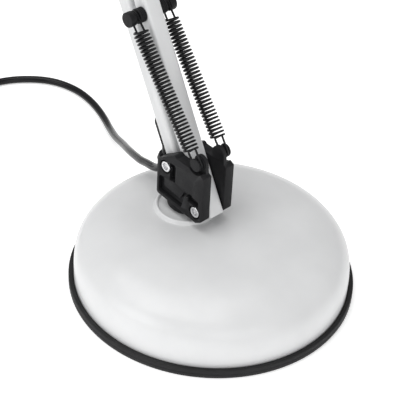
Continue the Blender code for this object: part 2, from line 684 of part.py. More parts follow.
# ---------------------------------------------------------------- shade and socket
def shade():
    top = TILT[1] - CAP_TOP - CAP_HEIGHT - GAP
    neck = SOCKET_RADIUS + 1.0
    flare = []
    for k in range(1, 5):
        t = k / 4
        flare.append((NECK_RADIUS + (SHADE_RADIUS - NECK_RADIUS) * math.sin(0.5 * math.pi * t) ** 1.15,
                      NECK_HEIGHT + (SHADE_HEIGHT - NECK_HEIGHT) * (1 - math.cos(0.5 * math.pi * t) ** 1.25)))
    outside = [(neck, 0.0), (NECK_RADIUS - 4.5, 0.0), (NECK_RADIUS - 1.3, 1.4), (NECK_RADIUS, 5.0),
               (NECK_RADIUS, NECK_HEIGHT)] + flare
    inside = [(radius - SHADE_SHEET * 0.9, depth + (SHADE_SHEET if depth < NECK_HEIGHT - 1 else 0.35))
              for radius, depth in outside[1:-1]]
    rim = [(SHADE_RADIUS + 0.8, SHADE_HEIGHT + 0.6), (SHADE_RADIUS + 0.6, SHADE_HEIGHT + 2.2),
           (SHADE_RADIUS - 0.9, SHADE_HEIGHT + 2.2)]
    profile = outside + rim + [(SHADE_RADIUS - SHADE_SHEET, SHADE_HEIGHT)] + inside[::-1] + [(neck, SHADE_SHEET)]
    body = turned("shade", [(radius, top - depth) for radius, depth in profile], 32, WHITE_PAINT, 0.4, closed=True)
    body.location.x = TILT[0] * MM
    for k in range(VENT_COUNT):
        angle = 2 * math.pi * (k + 0.5) / VENT_COUNT
        outline = hull([(0.0, -9.0, 2.0), (0.0, 9.0, 2.0)], 6)
        out = Vector((math.cos(angle), math.sin(angle), 0))
        side = Vector((-out.y, out.x, 0))
        at = out * NECK_RADIUS + Vector((TILT[0], 0, top - 0.55 * NECK_HEIGHT))
        place = Matrix(((side.x, 0, out.x, at.x * MM), (side.y, 0, out.y, at.y * MM), (0, 1, 0, at.z * MM),
                        (0, 0, 0, 1)))
        combine(body, as_tool(extruded("vent%d" % k, outline, 6.0, place, WHITE_PAINT)), "DIFFERENCE")
    return body


def shade_cap():
    """A hollow black cap: its roof turns on the stem and carries the switch."""
    top = TILT[1] - CAP_TOP
    floor = top - CAP_HEIGHT
    bore = STEM_RADIUS + BORE_PLAY
    profile = [(bore, top), (CAP_RADIUS - 6, top), (CAP_RADIUS - 1.8, top - 2.0), (CAP_RADIUS, top - 6),
               (CAP_RADIUS, floor), (CAP_RADIUS - 2.2, floor), (CAP_RADIUS - 2.2, top - 6.5),
               (CAP_RADIUS - 4.5, top - 3.0), (bore, top - 3.0)]
    cap = turned("shade_cap", profile, 32, BLACK_PLASTIC, 0.45, closed=True)
    cap.location.x = TILT[0] * MM
    hole = as_tool(turned("button_hole", [(0.0, top + 3), (BUTTON_RADIUS + BORE_PLAY, top + 3),
                                          (BUTTON_RADIUS + BORE_PLAY, top - 5), (0.0, top - 5)], 16, BLACK_PLASTIC))
    hole.location = (TILT[0] * MM, 14.0 * MM, 0)
    combine(cap, hole, "DIFFERENCE")
    return cap


def switch_button():
    top = TILT[1] - CAP_TOP
    profile = [(0.0, top + 3.4), (BUTTON_RADIUS - 1.0, top + 3.2), (BUTTON_RADIUS, top + 2.4),
               (BUTTON_RADIUS, top - 7.0), (0.0, top - 7.0)]
    button = turned("switch_button", profile, 16, BLACK_PLASTIC, 0.35)
    button.location = (TILT[0] * MM, 14.0 * MM, 0)
    return button


def knuckle():
    """The tongue between the head plates, and the hollow stem that the cap turns on."""
    tongue = turned("head_knuckle", [(0.0, BAR_WIDTH / 2), (KNUCKLE_RADIUS, BAR_WIDTH / 2),
                                     (KNUCKLE_RADIUS, -BAR_WIDTH / 2), (0.0, -BAR_WIDTH / 2)], 24, BLACK_PLASTIC)
    tongue.matrix_world = along_y(TILT)
    roof = TILT[1] - CAP_TOP
    neck = BAR_WIDTH / 2 - 0.1
    profile = [(0.0, TILT[1] - 4.0), (neck, TILT[1] - 4.0), (neck, TILT[1] - PIVOT_PAD - 1.5),
               (STEM_RADIUS, TILT[1] - PIVOT_PAD - 3.0),
               (STEM_RADIUS, roof - 3.0 - GAP), (STEM_RADIUS + 2.5, roof - 3.0 - GAP),
               (STEM_RADIUS + 2.5, roof - 6.0), (0.0, roof - 6.0)]
    stem = as_tool(turned("stem", profile, 20, BLACK_PLASTIC))
    stem.location.x = TILT[0] * MM
    combine(tongue, stem, "UNION")
    radius = SCREW_RADIUS + BORE_PLAY
    drill = as_tool(turned("tilt_bore", [(0.0, 12), (radius, 12), (radius, -12), (0.0, -12)], 16, BLACK_PLASTIC))
    drill.matrix_world = along_y(TILT)
    combine(tongue, drill, "DIFFERENCE")
    way = HEAD_LEAD[-3:] + [(TILT[0], 0.0, roof - 8.0)]
    passage = as_solid(tube("lead_bore", smooth_route(way, 4.0), CORD_RADIUS + 3 * GAP, BLACK_PLASTIC))
    combine(tongue, as_tool(passage), "DIFFERENCE")
    return tongue


def tilt_screw():
    """The tilt pivot: a head in the far plate, and a shank that carries the knob."""
    face = HEAD_OUTER - 0.2
    under = face - SCREW_HEAD
    end = HEAD_OUTER + KNOB_LENGTH - 4.0
    profile = [(0.0, face), (SCREW_HEAD_RADIUS - 0.7, face), (SCREW_HEAD_RADIUS, face - 0.6),
               (SCREW_HEAD_RADIUS, under), (SCREW_RADIUS, under), (SCREW_RADIUS, -end), (0.0, -end)]
    screw = turned("tilt_screw", profile, 16, BRIGHT_STEEL, 0.25, 1.0)
    screw.matrix_world = along_y(TILT, 1)
    return screw


def tilt_knob():
    start = HEAD_OUTER + GAP
    end = HEAD_OUTER + KNOB_LENGTH
    bore = SCREW_RADIUS + BORE_PLAY
    profile = [(0.0, end), (KNOB_RADIUS - 2.0, end), (KNOB_RADIUS, end - 2.0), (KNOB_RADIUS, start + 2.5),
               (KNOB_RADIUS - 3.5, start), (bore, start), (bore, end - 3.5), (0.0, end - 3.5)]
    knob = turned("tilt_knob", profile, 24, BLACK_PLASTIC, 0.45)
    knob.matrix_world = along_y(TILT)
    return knob


def socket_parts():
    """The lampholder inside the neck, the thread that takes the bulb, and the ring that holds it."""
    top = TILT[1] - CAP_TOP - CAP_HEIGHT + 6.0
    bottom = top - SOCKET_DEPTH
    inside = THREAD_RADIUS + 1.0 + GAP
    body = turned("socket_body", [(0.0, top), (SOCKET_RADIUS, top), (SOCKET_RADIUS, bottom), (inside, bottom),
                                  (inside, top - 12), (0.0, top - 12)], 32, (0.75, 0.74, 0.7), 0.35)
    thread = turned("socket_thread", [(THREAD_RADIUS, top - 13), (THREAD_RADIUS + 1.0, top - 13),
                                      (THREAD_RADIUS + 1.0, bottom + 4), (THREAD_RADIUS, bottom + 4)], 32,
                    (0.7, 0.55, 0.3), 0.3, 1.0, closed=True)
    seat = TILT[1] - CAP_TOP - CAP_HEIGHT - GAP - SHADE_SHEET - GAP
    ring = turned("socket_ring", [(SOCKET_RADIUS + GAP, seat), (SOCKET_RADIUS + 6, seat),
                                  (SOCKET_RADIUS + 7, seat - 7), (SOCKET_RADIUS + GAP, seat - 7)], 32,
                  BLACK_PLASTIC, closed=True)
    for piece in (body, thread, ring):
        piece.location.x = TILT[0] * MM
    return [body, thread, ring]


# --------------------------------------------------------------------- mains cord
# The route runs from the bracket's clip down behind the base, along the table in
# one wide bend, and into the coil.
CORD_ROUTE = [EXIT_POINT, (-52.4, 0.1, 64.6), (-55.2, 0.5, 60.3), (-59.7, 1.4, 56.7), (-66.0, 3.0, 53.7),
              (-74.4, 5.7, 50.0), (-85.4, 9.2, 45.0), (-106.6, 18.5, 35.5),
              (-127.4, 29.5, 25.0), (-149.2, 40.4, 14.5), (-169.6, 51.4, 6.6), (-185.8, 59.4, 3.3),
              (-198.9, 63.9, 2.8), (-212.1, 66.7, 2.8), (-226.4, 67.6, 2.8), (-239.2, 65.6, 2.8),
              (-250.9, 61.2, 2.8), (-260.8, 54.1, 2.8), (-268.9, 45.1, 2.8), (-275.3, 34.9, 2.8),
              (-279.6, 23.0, 2.8), (-283.0, 4.0, 2.8), (-285.8, -20.0, 3.0), (-287.6, -42.0, 3.6)]
TAIL_ROUTE = [(-250.0, -108.2, 12.5), (-238.0, -108.4, 11.2), (-224.0, -107.6, 8.6), (-210.0, -106.0, 7.1),
              (-204.0, -105.2, TAIL_HEIGHT), (-198.0, -105.0, TAIL_HEIGHT)]
PLUG_START = (-198.0 + GAP, -105.0)
RELIEF_LENGTH = 24.0
PLUG_LENGTH = 38.0
PLUG_WIDTH = 34.0
PLUG_THICKNESS = 13.8
PIN_LENGTH = 19.0
PIN_RADIUS = 2.0
PIN_SPACING = 18.6


def cord_coil():
    """The coil as one ring of its outer shape."""
    wide = 1.25 * 2 * CORD_RADIUS
    low = COIL_LIFT
    tall = 3 * 2 * CORD_RADIUS
    inner = COIL_RADIUS - wide - CORD_RADIUS
    outer = COIL_RADIUS + wide + CORD_RADIUS
    profile = [(inner + 3, low + tall), (outer - 3, low + tall), (outer, low + tall - 4), (outer, low + 2),
               (outer - 1, low), (inner + 1, low), (inner, low + 2), (inner, low + tall - 4)]
    coil = turned("cord_coil", profile, 32, BLACK_PLASTIC, closed=True)
    coil.location = (COIL_CENTRE[0] * MM, COIL_CENTRE[1] * MM, 0)
    return coil


def cord_tie():
    """A thin band round the coil, on the side away from where the cord comes in."""
    wide = 1.25 * 2 * CORD_RADIUS + CORD_RADIUS
    tall = 3 * 2 * CORD_RADIUS
    half = wide + GAP
    low = COIL_LIFT - GAP
    high = COIL_LIFT + tall + GAP

    inner_band = rounded([(-half, low, 1.0), (half, low, 1.0), (half, high, 2.0), (-half, high, 2.0)], 2)
    wide_half = half + TIE_THICKNESS
    under = low - TIE_THICKNESS
    over = high + TIE_THICKNESS
    outer_band = rounded([(-wide_half, under, 1.9), (wide_half, under, 1.9), (wide_half, over, 2.9),
                          (-wide_half, over, 2.9)], 2)
    place = Matrix.Translation(((COIL_CENTRE[0] + COIL_RADIUS) * MM, COIL_CENTRE[1] * MM, 0)) \
        @ Matrix.Rotation(math.pi / 2, 4, "X")
    return extruded("cord_tie", outer_band, 6.0, place, BLACK_PLASTIC, hole=inner_band)


def mains_plug():
    """A flat two-pin plug that lies on the table, with its tapered relief."""
    start = PLUG_START[0] + RELIEF_LENGTH
    half = PLUG_WIDTH / 2
    corners = [(start, -8.0, 3.0), (start + 14, -half, 8.0), (start + PLUG_LENGTH, -half, 2.0),
               (start + PLUG_LENGTH, half, 2.0), (start + 14, half, 8.0), (start, 8.0, 3.0)]
    place = Matrix.Translation((0, PLUG_START[1] * MM, PLUG_THICKNESS / 2 * MM))
    body = extruded("mains_plug", rounded(corners, 3), PLUG_THICKNESS, place, BLACK_PLASTIC, 0.5)
    relief = as_tool(turned("plug_relief", [(0.0, RELIEF_LENGTH + 3), (5.2, RELIEF_LENGTH + 3), (5.0, RELIEF_LENGTH),
                                            (3.6, 0.0), (0.0, 0.0)], 16, BLACK_PLASTIC))
    relief.matrix_world = Matrix.Translation((PLUG_START[0] * MM, PLUG_START[1] * MM, TAIL_HEIGHT * MM)) \
        @ Matrix.Rotation(math.pi / 2, 4, "Y")
    combine(body, relief, "UNION")
    for k, offset in enumerate((-PIN_SPACING / 2, PIN_SPACING / 2)):
        reach = PIN_LENGTH + 2.0
        pin = as_tool(turned("plug_pin%d" % k, [(0.0, reach), (PIN_RADIUS - 0.8, reach), (PIN_RADIUS, reach - 1.2),
                                                (PIN_RADIUS, 0.0), (0.0, 0.0)], 12, BRIGHT_STEEL))
        pin.matrix_world = Matrix.Translation(((start + PLUG_LENGTH - 2.0) * MM, (PLUG_START[1] + offset) * MM,
                                               PLUG_THICKNESS / 2 * MM)) @ Matrix.Rotation(math.pi / 2, 4, "Y")
        combine(body, pin, "UNION")
    return body


# ---------------------------------------------------------- the lead on the lamp
def out_of(point, way, face, reach, out):
    """A point beside a bar: so far along it from a pivot, and so far out of its middle."""
    return step(step(point, way, reach), face, out)


def slot_exit(point, way, face, inwards, outwards):
    """The lead's way out of a slot: along the bar inside it, then up through the slot."""
    reach = inwards * SLOT_REACH
    return [out_of(point, way, face, reach + inwards * along, outwards * out)
            for along, out in ((22.0, 1.0), (15.0, 1.2), (6.0, 2.9), (-2.0, 6.3), (-9.0, 10.5))]


def cord_start():
    """The way the cord sets off from its exit point."""
    first, second = smooth_route(CORD_ROUTE, CORD_SPACING)[:2]
    return (Vector(second) - Vector(first)).normalized()


FOOT_CLIP = (-50.0, 72.6)
FOOT_EAR = (-40.5, 61.5)
FOOT_LEAD = flat_route(slot_exit(REAR_PIVOT, LOWER_WAY, LOWER_FACE, 1, -1)) + [
    tuple(Vector(EXIT_POINT) - cord_start() * back) for back in (7.0, LEAD_GAP)]
ELBOW_CLIP = (ELBOW_REAR[0] - 17.0, ELBOW_REAR[1] + 19.0)
ELBOW_EAR = (ELBOW_REAR[0] - 6.5, ELBOW_REAR[1] + 14.5)
ELBOW_LEAD = flat_route(slot_exit(ELBOW_REAR, LOWER_WAY, LOWER_FACE, -1, -1) + [
    ELBOW_CLIP, (ELBOW_REAR[0] - 11.0, ELBOW_REAR[1] + 37.0), (ELBOW_REAR[0] + 6.0, ELBOW_REAR[1] + 50.0),
    out_of(UPPER_HIGH, UPPER_WAY, UPPER_FACE, SLOT_REACH - 22, 19.0)] + slot_exit(
    UPPER_HIGH, UPPER_WAY, UPPER_FACE, 1, 1)[::-1])
HEAD_CLIP = (HEAD_HIGH[0] + 16.0, HEAD_HIGH[1] + 20.0)
HEAD_EAR = (HEAD_HIGH[0] + 14.0, HEAD_HIGH[1] + 9.5)
HEAD_LEAD = flat_route(slot_exit(HEAD_HIGH, UPPER_WAY, UPPER_FACE, -1, 1) + [
    HEAD_CLIP, (TILT[0] + 0.5, TILT[1] + 38.0), (TILT[0] + 18.5, TILT[1] + 22.0), (TILT[0] + 22.5, TILT[1] + 2.0),
    (TILT[0] + 14.5, TILT[1] - 14.5), (TILT[0] + 3.5, TILT[1] - 24.5)])


def bar_lead(name, start, way, face, shift):
    """The straight stretch of lead inside a bar, between its two slots."""
    low = out_of(start, way, face, SLOT_REACH + 22 + GAP, shift)
    high = out_of(start, way, face, ARM_LENGTH - SLOT_REACH - 22 - GAP, shift)
    return lead(name, flat_route([low, high]), 60.0)


# ------------------------------------------------------------------ side outlines
def bracket_outline():
    """The base bracket's plate, from its bottom rear corner round by the front."""
    front = FRONT_PIVOT[0] + 7.1
    rear = REAR_PIVOT[0] - 7.5
    bottom = FRONT_PIVOT[1] - 5.0
    top = REAR_PIVOT[1] + 12.5
    return rounded([(rear, bottom, 2.0), (front - 4.8, bottom, 2.5), (front, bottom + 4.8, 2.5),
                    (front, top - 2.1, 1.2), (-3.0, top, 1.0), (-24.0, top, 2.0), (-26.5, top + 1.6, 2.0),
                    (rear, REAR_PIVOT[1] + 3.2, 4.5)])


def elbow_outline():
    return hull([(*ELBOW_FRONT, PIVOT_PAD), (*ELBOW_REAR, PIVOT_PAD), (*UPPER_LOW, PIVOT_PAD),
                 (*UPPER_HIGH, PIVOT_PAD), (*ELBOW_EAR, 5.0)])


def head_outline():
    return hull([(*HEAD_LOW, PIVOT_PAD), (*HEAD_HIGH, PIVOT_PAD), (*TILT, PIVOT_PAD + 1.0), (*HEAD_EAR, 4.5)])


# ------------------------------------------------------------------- the assembly
def build_base():
    edge_ring()
    base_dome()
    base_weight()
    base_plate()
    base_pad()
    swivel_post()
    post_nut()
    post_bush()


def bracket_hub():
    bore = POST_RADIUS + BORE_PLAY
    flange = HUB_BOTTOM + HUB_FLANGE
    profile = [(0.0, HUB_TOP), (HUB_NECK_RADIUS - 0.6, HUB_TOP), (HUB_NECK_RADIUS, HUB_TOP - 0.8),
               (HUB_NECK_RADIUS, flange), (HUB_FLANGE_RADIUS - 0.8, flange), (HUB_FLANGE_RADIUS, flange - 0.8),
               (HUB_FLANGE_RADIUS, HUB_BOTTOM), (bore, HUB_BOTTOM), (bore, POST_TOP + 0.6), (0.0, POST_TOP + 0.6)]
    hub = turned("bracket_hub", profile, 24, BLACK_PLASTIC)
    hub.location.x = POST_OFFSET * MM
    return hub


def build_bracket():
    pivots = [REAR_PIVOT, FRONT_PIVOT]
    root = (LOWER_PLATE_PEG[0] + 0.5, LOWER_PLATE_PEG[1] - 15.0)
    pieces = [bracket_hub(), clip("foot_clip", FOOT_LEAD, FOOT_CLIP, FOOT_EAR)]
    for side, label in ((-1, "right"), (1, "left")):
        pieces.append(side_plate("bracket_" + label, bracket_outline(), side, BRACKET_PLATE, pivots,
                                 LOWER_PLATE_PEG, root))
    for label, point in (("rear", REAR_PIVOT), ("front", FRONT_PIVOT)):
        pieces.append(pivot_screw("pivot_screw_" + label, point, OUTER, OUTER - 1.0))
        pieces.append(pivot_nut("pivot_nut_" + label, point, OUTER))
    pieces.append(lead("lead_foot", FOOT_LEAD, 3.0))
    swivel = joint_axis("swivel_axis", POST_OFFSET, HUB_BOTTOM)
    hang_on(swivel, pieces)
    return swivel


def build_arm(label, starts, way, face, slot_face, peg_low, peg_high, parents):
    """Two parallel bars, the spring pegs on the lower one, and the springs."""
    hole = SCREW_RADIUS + BORE_PLAY
    plain_start, slotted_start = starts
    ends = [(0.0, hole), (ARM_LENGTH, hole)]
    plain = bar(label + "_bar_sprung", plain_start, way, face, ends + [(PEG_REACH, hole)])
    slotted = bar(label + "_bar_wired", slotted_start, way, face, ends,
                  (SLOT_REACH, ARM_LENGTH - SLOT_REACH), slot_face)
    inside = bar_lead("lead_in_%s_bar" % label, slotted_start, way, face, slot_face * 1.0)
    plain_axis = joint_axis(label + "_sprung_axis", *plain_start)
    slotted_axis = joint_axis(label + "_wired_axis", *slotted_start)
    pegs = []
    springs = []
    for side, hand in ((-1, "right"), (1, "left")):
        pegs.append(bar_peg("%s_peg_%s" % (label, hand), peg_high, side))
        springs.append(spring("%s_spring_%s" % (label, hand), peg_low, peg_high, side))
    hang_on(plain_axis, [plain] + pegs)
    hang_on(slotted_axis, [slotted, inside])
    hang_on(parents, springs + [plain_axis, slotted_axis])
    return slotted_axis


def build_elbow():
    pivots = [ELBOW_FRONT, ELBOW_REAR, UPPER_LOW, UPPER_HIGH]
    root = (UPPER_PLATE_PEG[0] - 1.5, UPPER_PLATE_PEG[1] - 15.0)
    pieces = [clip("elbow_clip", ELBOW_LEAD, ELBOW_CLIP, ELBOW_EAR)]
    for side, label in ((-1, "right"), (1, "left")):
        pieces.append(side_plate("elbow_" + label, elbow_outline(), side, BRACKET_PLATE, pivots,
                                 UPPER_PLATE_PEG, root))
    for i, point in enumerate(pivots):
        pieces.append(pivot_rivet("elbow_rivet_%d" % (i + 1), point, OUTER))
    pieces.append(lead("lead_elbow", ELBOW_LEAD))
    axis = joint_axis("elbow_axis", *ELBOW_REAR)
    hang_on(axis, pieces)
    return axis


def build_head():
    pivots = [HEAD_LOW, HEAD_HIGH, TILT]
    pieces = [clip("head_clip", HEAD_LEAD, HEAD_CLIP, HEAD_EAR)]
    for side, label in ((-1, "right"), (1, "left")):
        pieces.append(side_plate("head_plate_" + label, head_outline(), side, HEAD_PLATE, pivots))
    for i, point in enumerate(pivots[:2]):
        pieces.append(pivot_rivet("head_rivet_%d" % (i + 1), point, HEAD_OUTER))
    pieces += [tilt_screw(), lead("lead_head", HEAD_LEAD)]
    head_axis = joint_axis("head_axis", *HEAD_HIGH)
    hang_on(head_axis, pieces)
    tilt_axis = joint_axis("tilt_axis", *TILT)
    knob = tilt_knob()
    hang_on(tilt_axis, [knuckle()])
    turn_axis = joint_axis("turn_axis", TILT[0], TILT[1] - CAP_TOP)
    hang_on(turn_axis, [shade(), shade_cap(), switch_button()] + socket_parts())
    hang_on(tilt_axis, [turn_axis])
    hang_on(head_axis, [tilt_axis, knob])
    return head_axis


def build_cord():
    tube("mains_cord", smooth_route(CORD_ROUTE, CORD_SPACING), CORD_RADIUS, BLACK_PLASTIC)
    tube("cord_tail", smooth_route(TAIL_ROUTE, 11.0), CORD_RADIUS, BLACK_PLASTIC)
    cord_coil()
    cord_tie()
    mains_plug()


build_base()
swivel_axis = build_bracket()
lower_axis = build_arm("lower", (FRONT_PIVOT, REAR_PIVOT), LOWER_WAY, LOWER_FACE, -1,
                       LOWER_PLATE_PEG, LOWER_BAR_PEG, swivel_axis)
elbow = build_elbow()
hang_on(lower_axis, [elbow])
upper_axis = build_arm("upper", (UPPER_LOW, UPPER_HIGH), UPPER_WAY, UPPER_FACE, 1,
                       UPPER_PLATE_PEG, UPPER_BAR_PEG, elbow)
head = build_head()
hang_on(upper_axis, [head])
build_cord()
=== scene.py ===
import json
import math

import bmesh
import bpy
from mathutils import Matrix, Vector


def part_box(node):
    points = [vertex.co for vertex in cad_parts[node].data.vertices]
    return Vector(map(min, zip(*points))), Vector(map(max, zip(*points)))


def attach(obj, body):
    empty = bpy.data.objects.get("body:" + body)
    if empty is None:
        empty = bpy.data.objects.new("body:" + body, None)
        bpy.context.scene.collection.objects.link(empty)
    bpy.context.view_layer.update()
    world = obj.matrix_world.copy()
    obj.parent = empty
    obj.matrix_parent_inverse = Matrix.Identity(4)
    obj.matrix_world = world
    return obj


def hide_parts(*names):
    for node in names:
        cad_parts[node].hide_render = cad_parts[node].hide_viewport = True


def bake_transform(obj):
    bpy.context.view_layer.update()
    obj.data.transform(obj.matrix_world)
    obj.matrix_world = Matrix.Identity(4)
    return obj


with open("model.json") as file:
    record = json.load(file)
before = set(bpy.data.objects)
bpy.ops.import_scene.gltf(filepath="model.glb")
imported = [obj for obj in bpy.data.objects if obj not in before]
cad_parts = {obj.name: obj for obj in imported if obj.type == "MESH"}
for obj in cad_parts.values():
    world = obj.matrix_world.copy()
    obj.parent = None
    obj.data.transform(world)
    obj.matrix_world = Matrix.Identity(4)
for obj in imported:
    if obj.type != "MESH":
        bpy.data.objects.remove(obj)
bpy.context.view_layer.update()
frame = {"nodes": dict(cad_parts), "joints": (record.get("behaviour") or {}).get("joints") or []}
mm = 0.001

# where the joints are, in millimetres
pivotAt = {joint["name"]: Vector(joint["pos_m"]) / mm for joint in frame["joints"] if "pos_m" in joint}
rearPivot = pivotAt["lower_arm"]
frontPivot = pivotAt["lower_front_bar"]
elbowRear = pivotAt["elbow_level"]
elbowFront = frontPivot + elbowRear - rearPivot
upperHigh = pivotAt["upper_arm"]
upperLow = pivotAt["upper_lower_bar"]
headHigh = pivotAt["head_level"]
headLow = upperLow + headHigh - upperHigh
tiltPivot = pivotAt["head_tilt"]
postAt = pivotAt["base_swivel"]
lowerWay = (elbowRear - rearPivot).normalized()
upperWay = (headHigh - upperHigh).normalized()


# ---- camera and light
cameraSetup = {
    "place": (0.4766, -0.4841, 0.6031),
    "right": (0.6765, 0.7351, 0.0434),
    "up": (-0.4802, 0.3958, 0.7828),
    "back": (0.5583, -0.5504, 0.6208),
    "lens": 120.35,
}


def setCamera():
    data = bpy.data.cameras.new("deskCamera")
    data.lens = cameraSetup["lens"]
    data.sensor_width = 36.0
    data.clip_start = 0.01
    camera = bpy.data.objects.new("deskCamera", data)
    bpy.context.scene.collection.objects.link(camera)
    turn = Matrix((cameraSetup["right"], cameraSetup["up"], cameraSetup["back"])).transposed()
    camera.matrix_world = Matrix.Translation(cameraSetup["place"]) @ turn.to_4x4()
    bpy.context.scene.camera = camera


lightSetup = {
    "worldStrength": 0.5,
    "target": (0.0, 0.0, 0.05),
    "softboxes": [("topSoftbox", (-0.35, -0.25, 1.6), 1.3, 12.5),      # place, size and power
                  ("frontSoftbox", (-0.25, -1.5, 0.75), 0.9, 5.0),
                  ("rightSoftbox", (1.4, -0.5, 0.7), 1.0, 4.5)],
    "floorSide": 6.0,
    "floorColour": (0.93, 0.93, 0.93),
    "floorGlow": 0.42,
}


def addSoftbox(name, place, size, power):
    data = bpy.data.lights.new(name, "AREA")
    data.shape = "RECTANGLE"
    data.size = size
    data.size_y = size
    data.energy = power
    lamp = bpy.data.objects.new(name, data)
    bpy.context.scene.collection.objects.link(lamp)
    way = Vector(lightSetup["target"]) - Vector(place)
    lamp.matrix_world = Matrix.Translation(place) @ way.to_track_quat("-Z", "Y").to_matrix().to_4x4()


def setStudio():
    scene = bpy.context.scene
    scene.view_settings.view_transform = "Standard"
    world = bpy.data.worlds.new("paleStudio")
    world.use_nodes = True
    world.node_tree.nodes["Background"].inputs["Color"].default_value = (1.0, 1.0, 1.0, 1.0)
    world.node_tree.nodes["Background"].inputs["Strength"].default_value = lightSetup["worldStrength"]
    scene.world = world
    for name, place, size, power in lightSetup["softboxes"]:
        addSoftbox(name, place, size, power)
    mesh = bpy.data.meshes.new("studioFloor")
    side = lightSetup["floorSide"]
    corners = [(-side, -side, 0), (side, -side, 0), (side, side, 0), (-side, side, 0)]
    mesh.from_pydata(corners, [], [(0, 1, 2, 3)])
    floor = bpy.data.objects.new("studioFloor", mesh)
    scene.collection.objects.link(floor)
    paper = bpy.data.materials.new("paleFloor")
    paper.use_nodes = True
    shader = paper.node_tree.nodes["Principled BSDF"]
    shader.inputs["Base Color"].default_value = (*lightSetup["floorColour"], 1.0)
    shader.inputs["Roughness"].default_value = 0.9
    shader.inputs["Specular IOR Level"].default_value = 0.0
    shader.inputs["Emission Color"].default_value = (1.0, 1.0, 1.0, 1.0)
    shader.inputs["Emission Strength"].default_value = lightSetup["floorGlow"]
    mesh.materials.append(paper)


setCamera()
setStudio()
print("camera and studio set")


# ---- finishes
finishes = {
    "whiteEnamel": {"colour": (0.73, 0.735, 0.74), "deep": (0.69, 0.695, 0.70), "patch": 28.0, "grain": 900.0,
                    "bump": 0.05, "rough": (0.30, 0.38), "coat": 0.25},
    "shadeEnamel": {"colour": (0.76, 0.765, 0.77), "deep": (0.72, 0.725, 0.73), "patch": 22.0, "grain": 800.0,
                    "bump": 0.05, "rough": (0.28, 0.36), "coat": 0.25},
    "mouldedBlack": {"colour": (0.012, 0.012, 0.013), "deep": (0.008, 0.008, 0.009), "patch": 90.0,
                     "grain": 2600.0, "bump": 0.22, "rough": (0.42, 0.56), "worn": (0.035, 0.035, 0.037),
                     "shine": 0.16},
    "edgeRubber": {"colour": (0.014, 0.014, 0.015), "deep": (0.008, 0.008, 0.009), "patch": 60.0,
                   "grain": 1800.0, "bump": 0.3, "rough": (0.5, 0.7),
                    "worn": (0.03, 0.03, 0.03), "shine": 0.25},
    "blackSpring": {"colour": (0.008, 0.008, 0.009), "deep": (0.004, 0.004, 0.005), "patch": 220.0,
                    "grain": 2200.0, "bump": 0.08, "rough": (0.3, 0.42), "shine": 0.22},
    "cordSheath": {"colour": (0.010, 0.010, 0.011), "deep": (0.006, 0.006, 0.007), "patch": 40.0,
                   "grain": 1500.0, "bump": 0.1, "rough": (0.16, 0.24), "shine": 0.2},
    "plugBlack": {"colour": (0.015, 0.015, 0.016), "deep": (0.010, 0.010, 0.011), "patch": 70.0,
                  "grain": 2000.0, "bump": 0.25, "rough": (0.4, 0.55), "worn": (0.05, 0.05, 0.05)},
    "switchBlack": {"colour": (0.02, 0.02, 0.021), "deep": (0.014, 0.014, 0.015), "patch": 120.0,
                    "grain": 1500.0, "bump": 0.05, "rough": (0.2, 0.3)},
    "polishedSteel": {"colour": (0.78, 0.78, 0.79), "deep": (0.62, 0.62, 0.63), "patch": 300.0,
                      "grain": 2500.0, "bump": 0.06, "rough": (0.14, 0.26), "metal": 1.0},
    "zincSteel": {"colour": (0.60, 0.61, 0.62), "deep": (0.48, 0.49, 0.50), "patch": 160.0,
                  "grain": 1800.0, "bump": 0.15, "rough": (0.3, 0.45), "metal": 1.0},
    "castIron": {"colour": (0.11, 0.11, 0.11), "deep": (0.06, 0.06, 0.06), "patch": 60.0,
                 "grain": 700.0, "bump": 0.6, "rough": (0.6, 0.8), "metal": 0.6},
    "baseFelt": {"colour": (0.022, 0.022, 0.023), "deep": (0.012, 0.012, 0.012), "patch": 200.0,
                 "grain": 2800.0, "bump": 0.7, "rough": (0.85, 0.98)},
    "socketWhite": {"colour": (0.74, 0.72, 0.67), "deep": (0.68, 0.66, 0.61), "patch": 60.0,
                    "grain": 900.0, "bump": 0.05, "rough": (0.18, 0.28), "coat": 0.3},
    "threadBrass": {"colour": (0.66, 0.50, 0.24), "deep": (0.50, 0.36, 0.16), "patch": 180.0,
                    "grain": 1500.0, "bump": 0.1, "rough": (0.22, 0.36), "metal": 1.0},
}


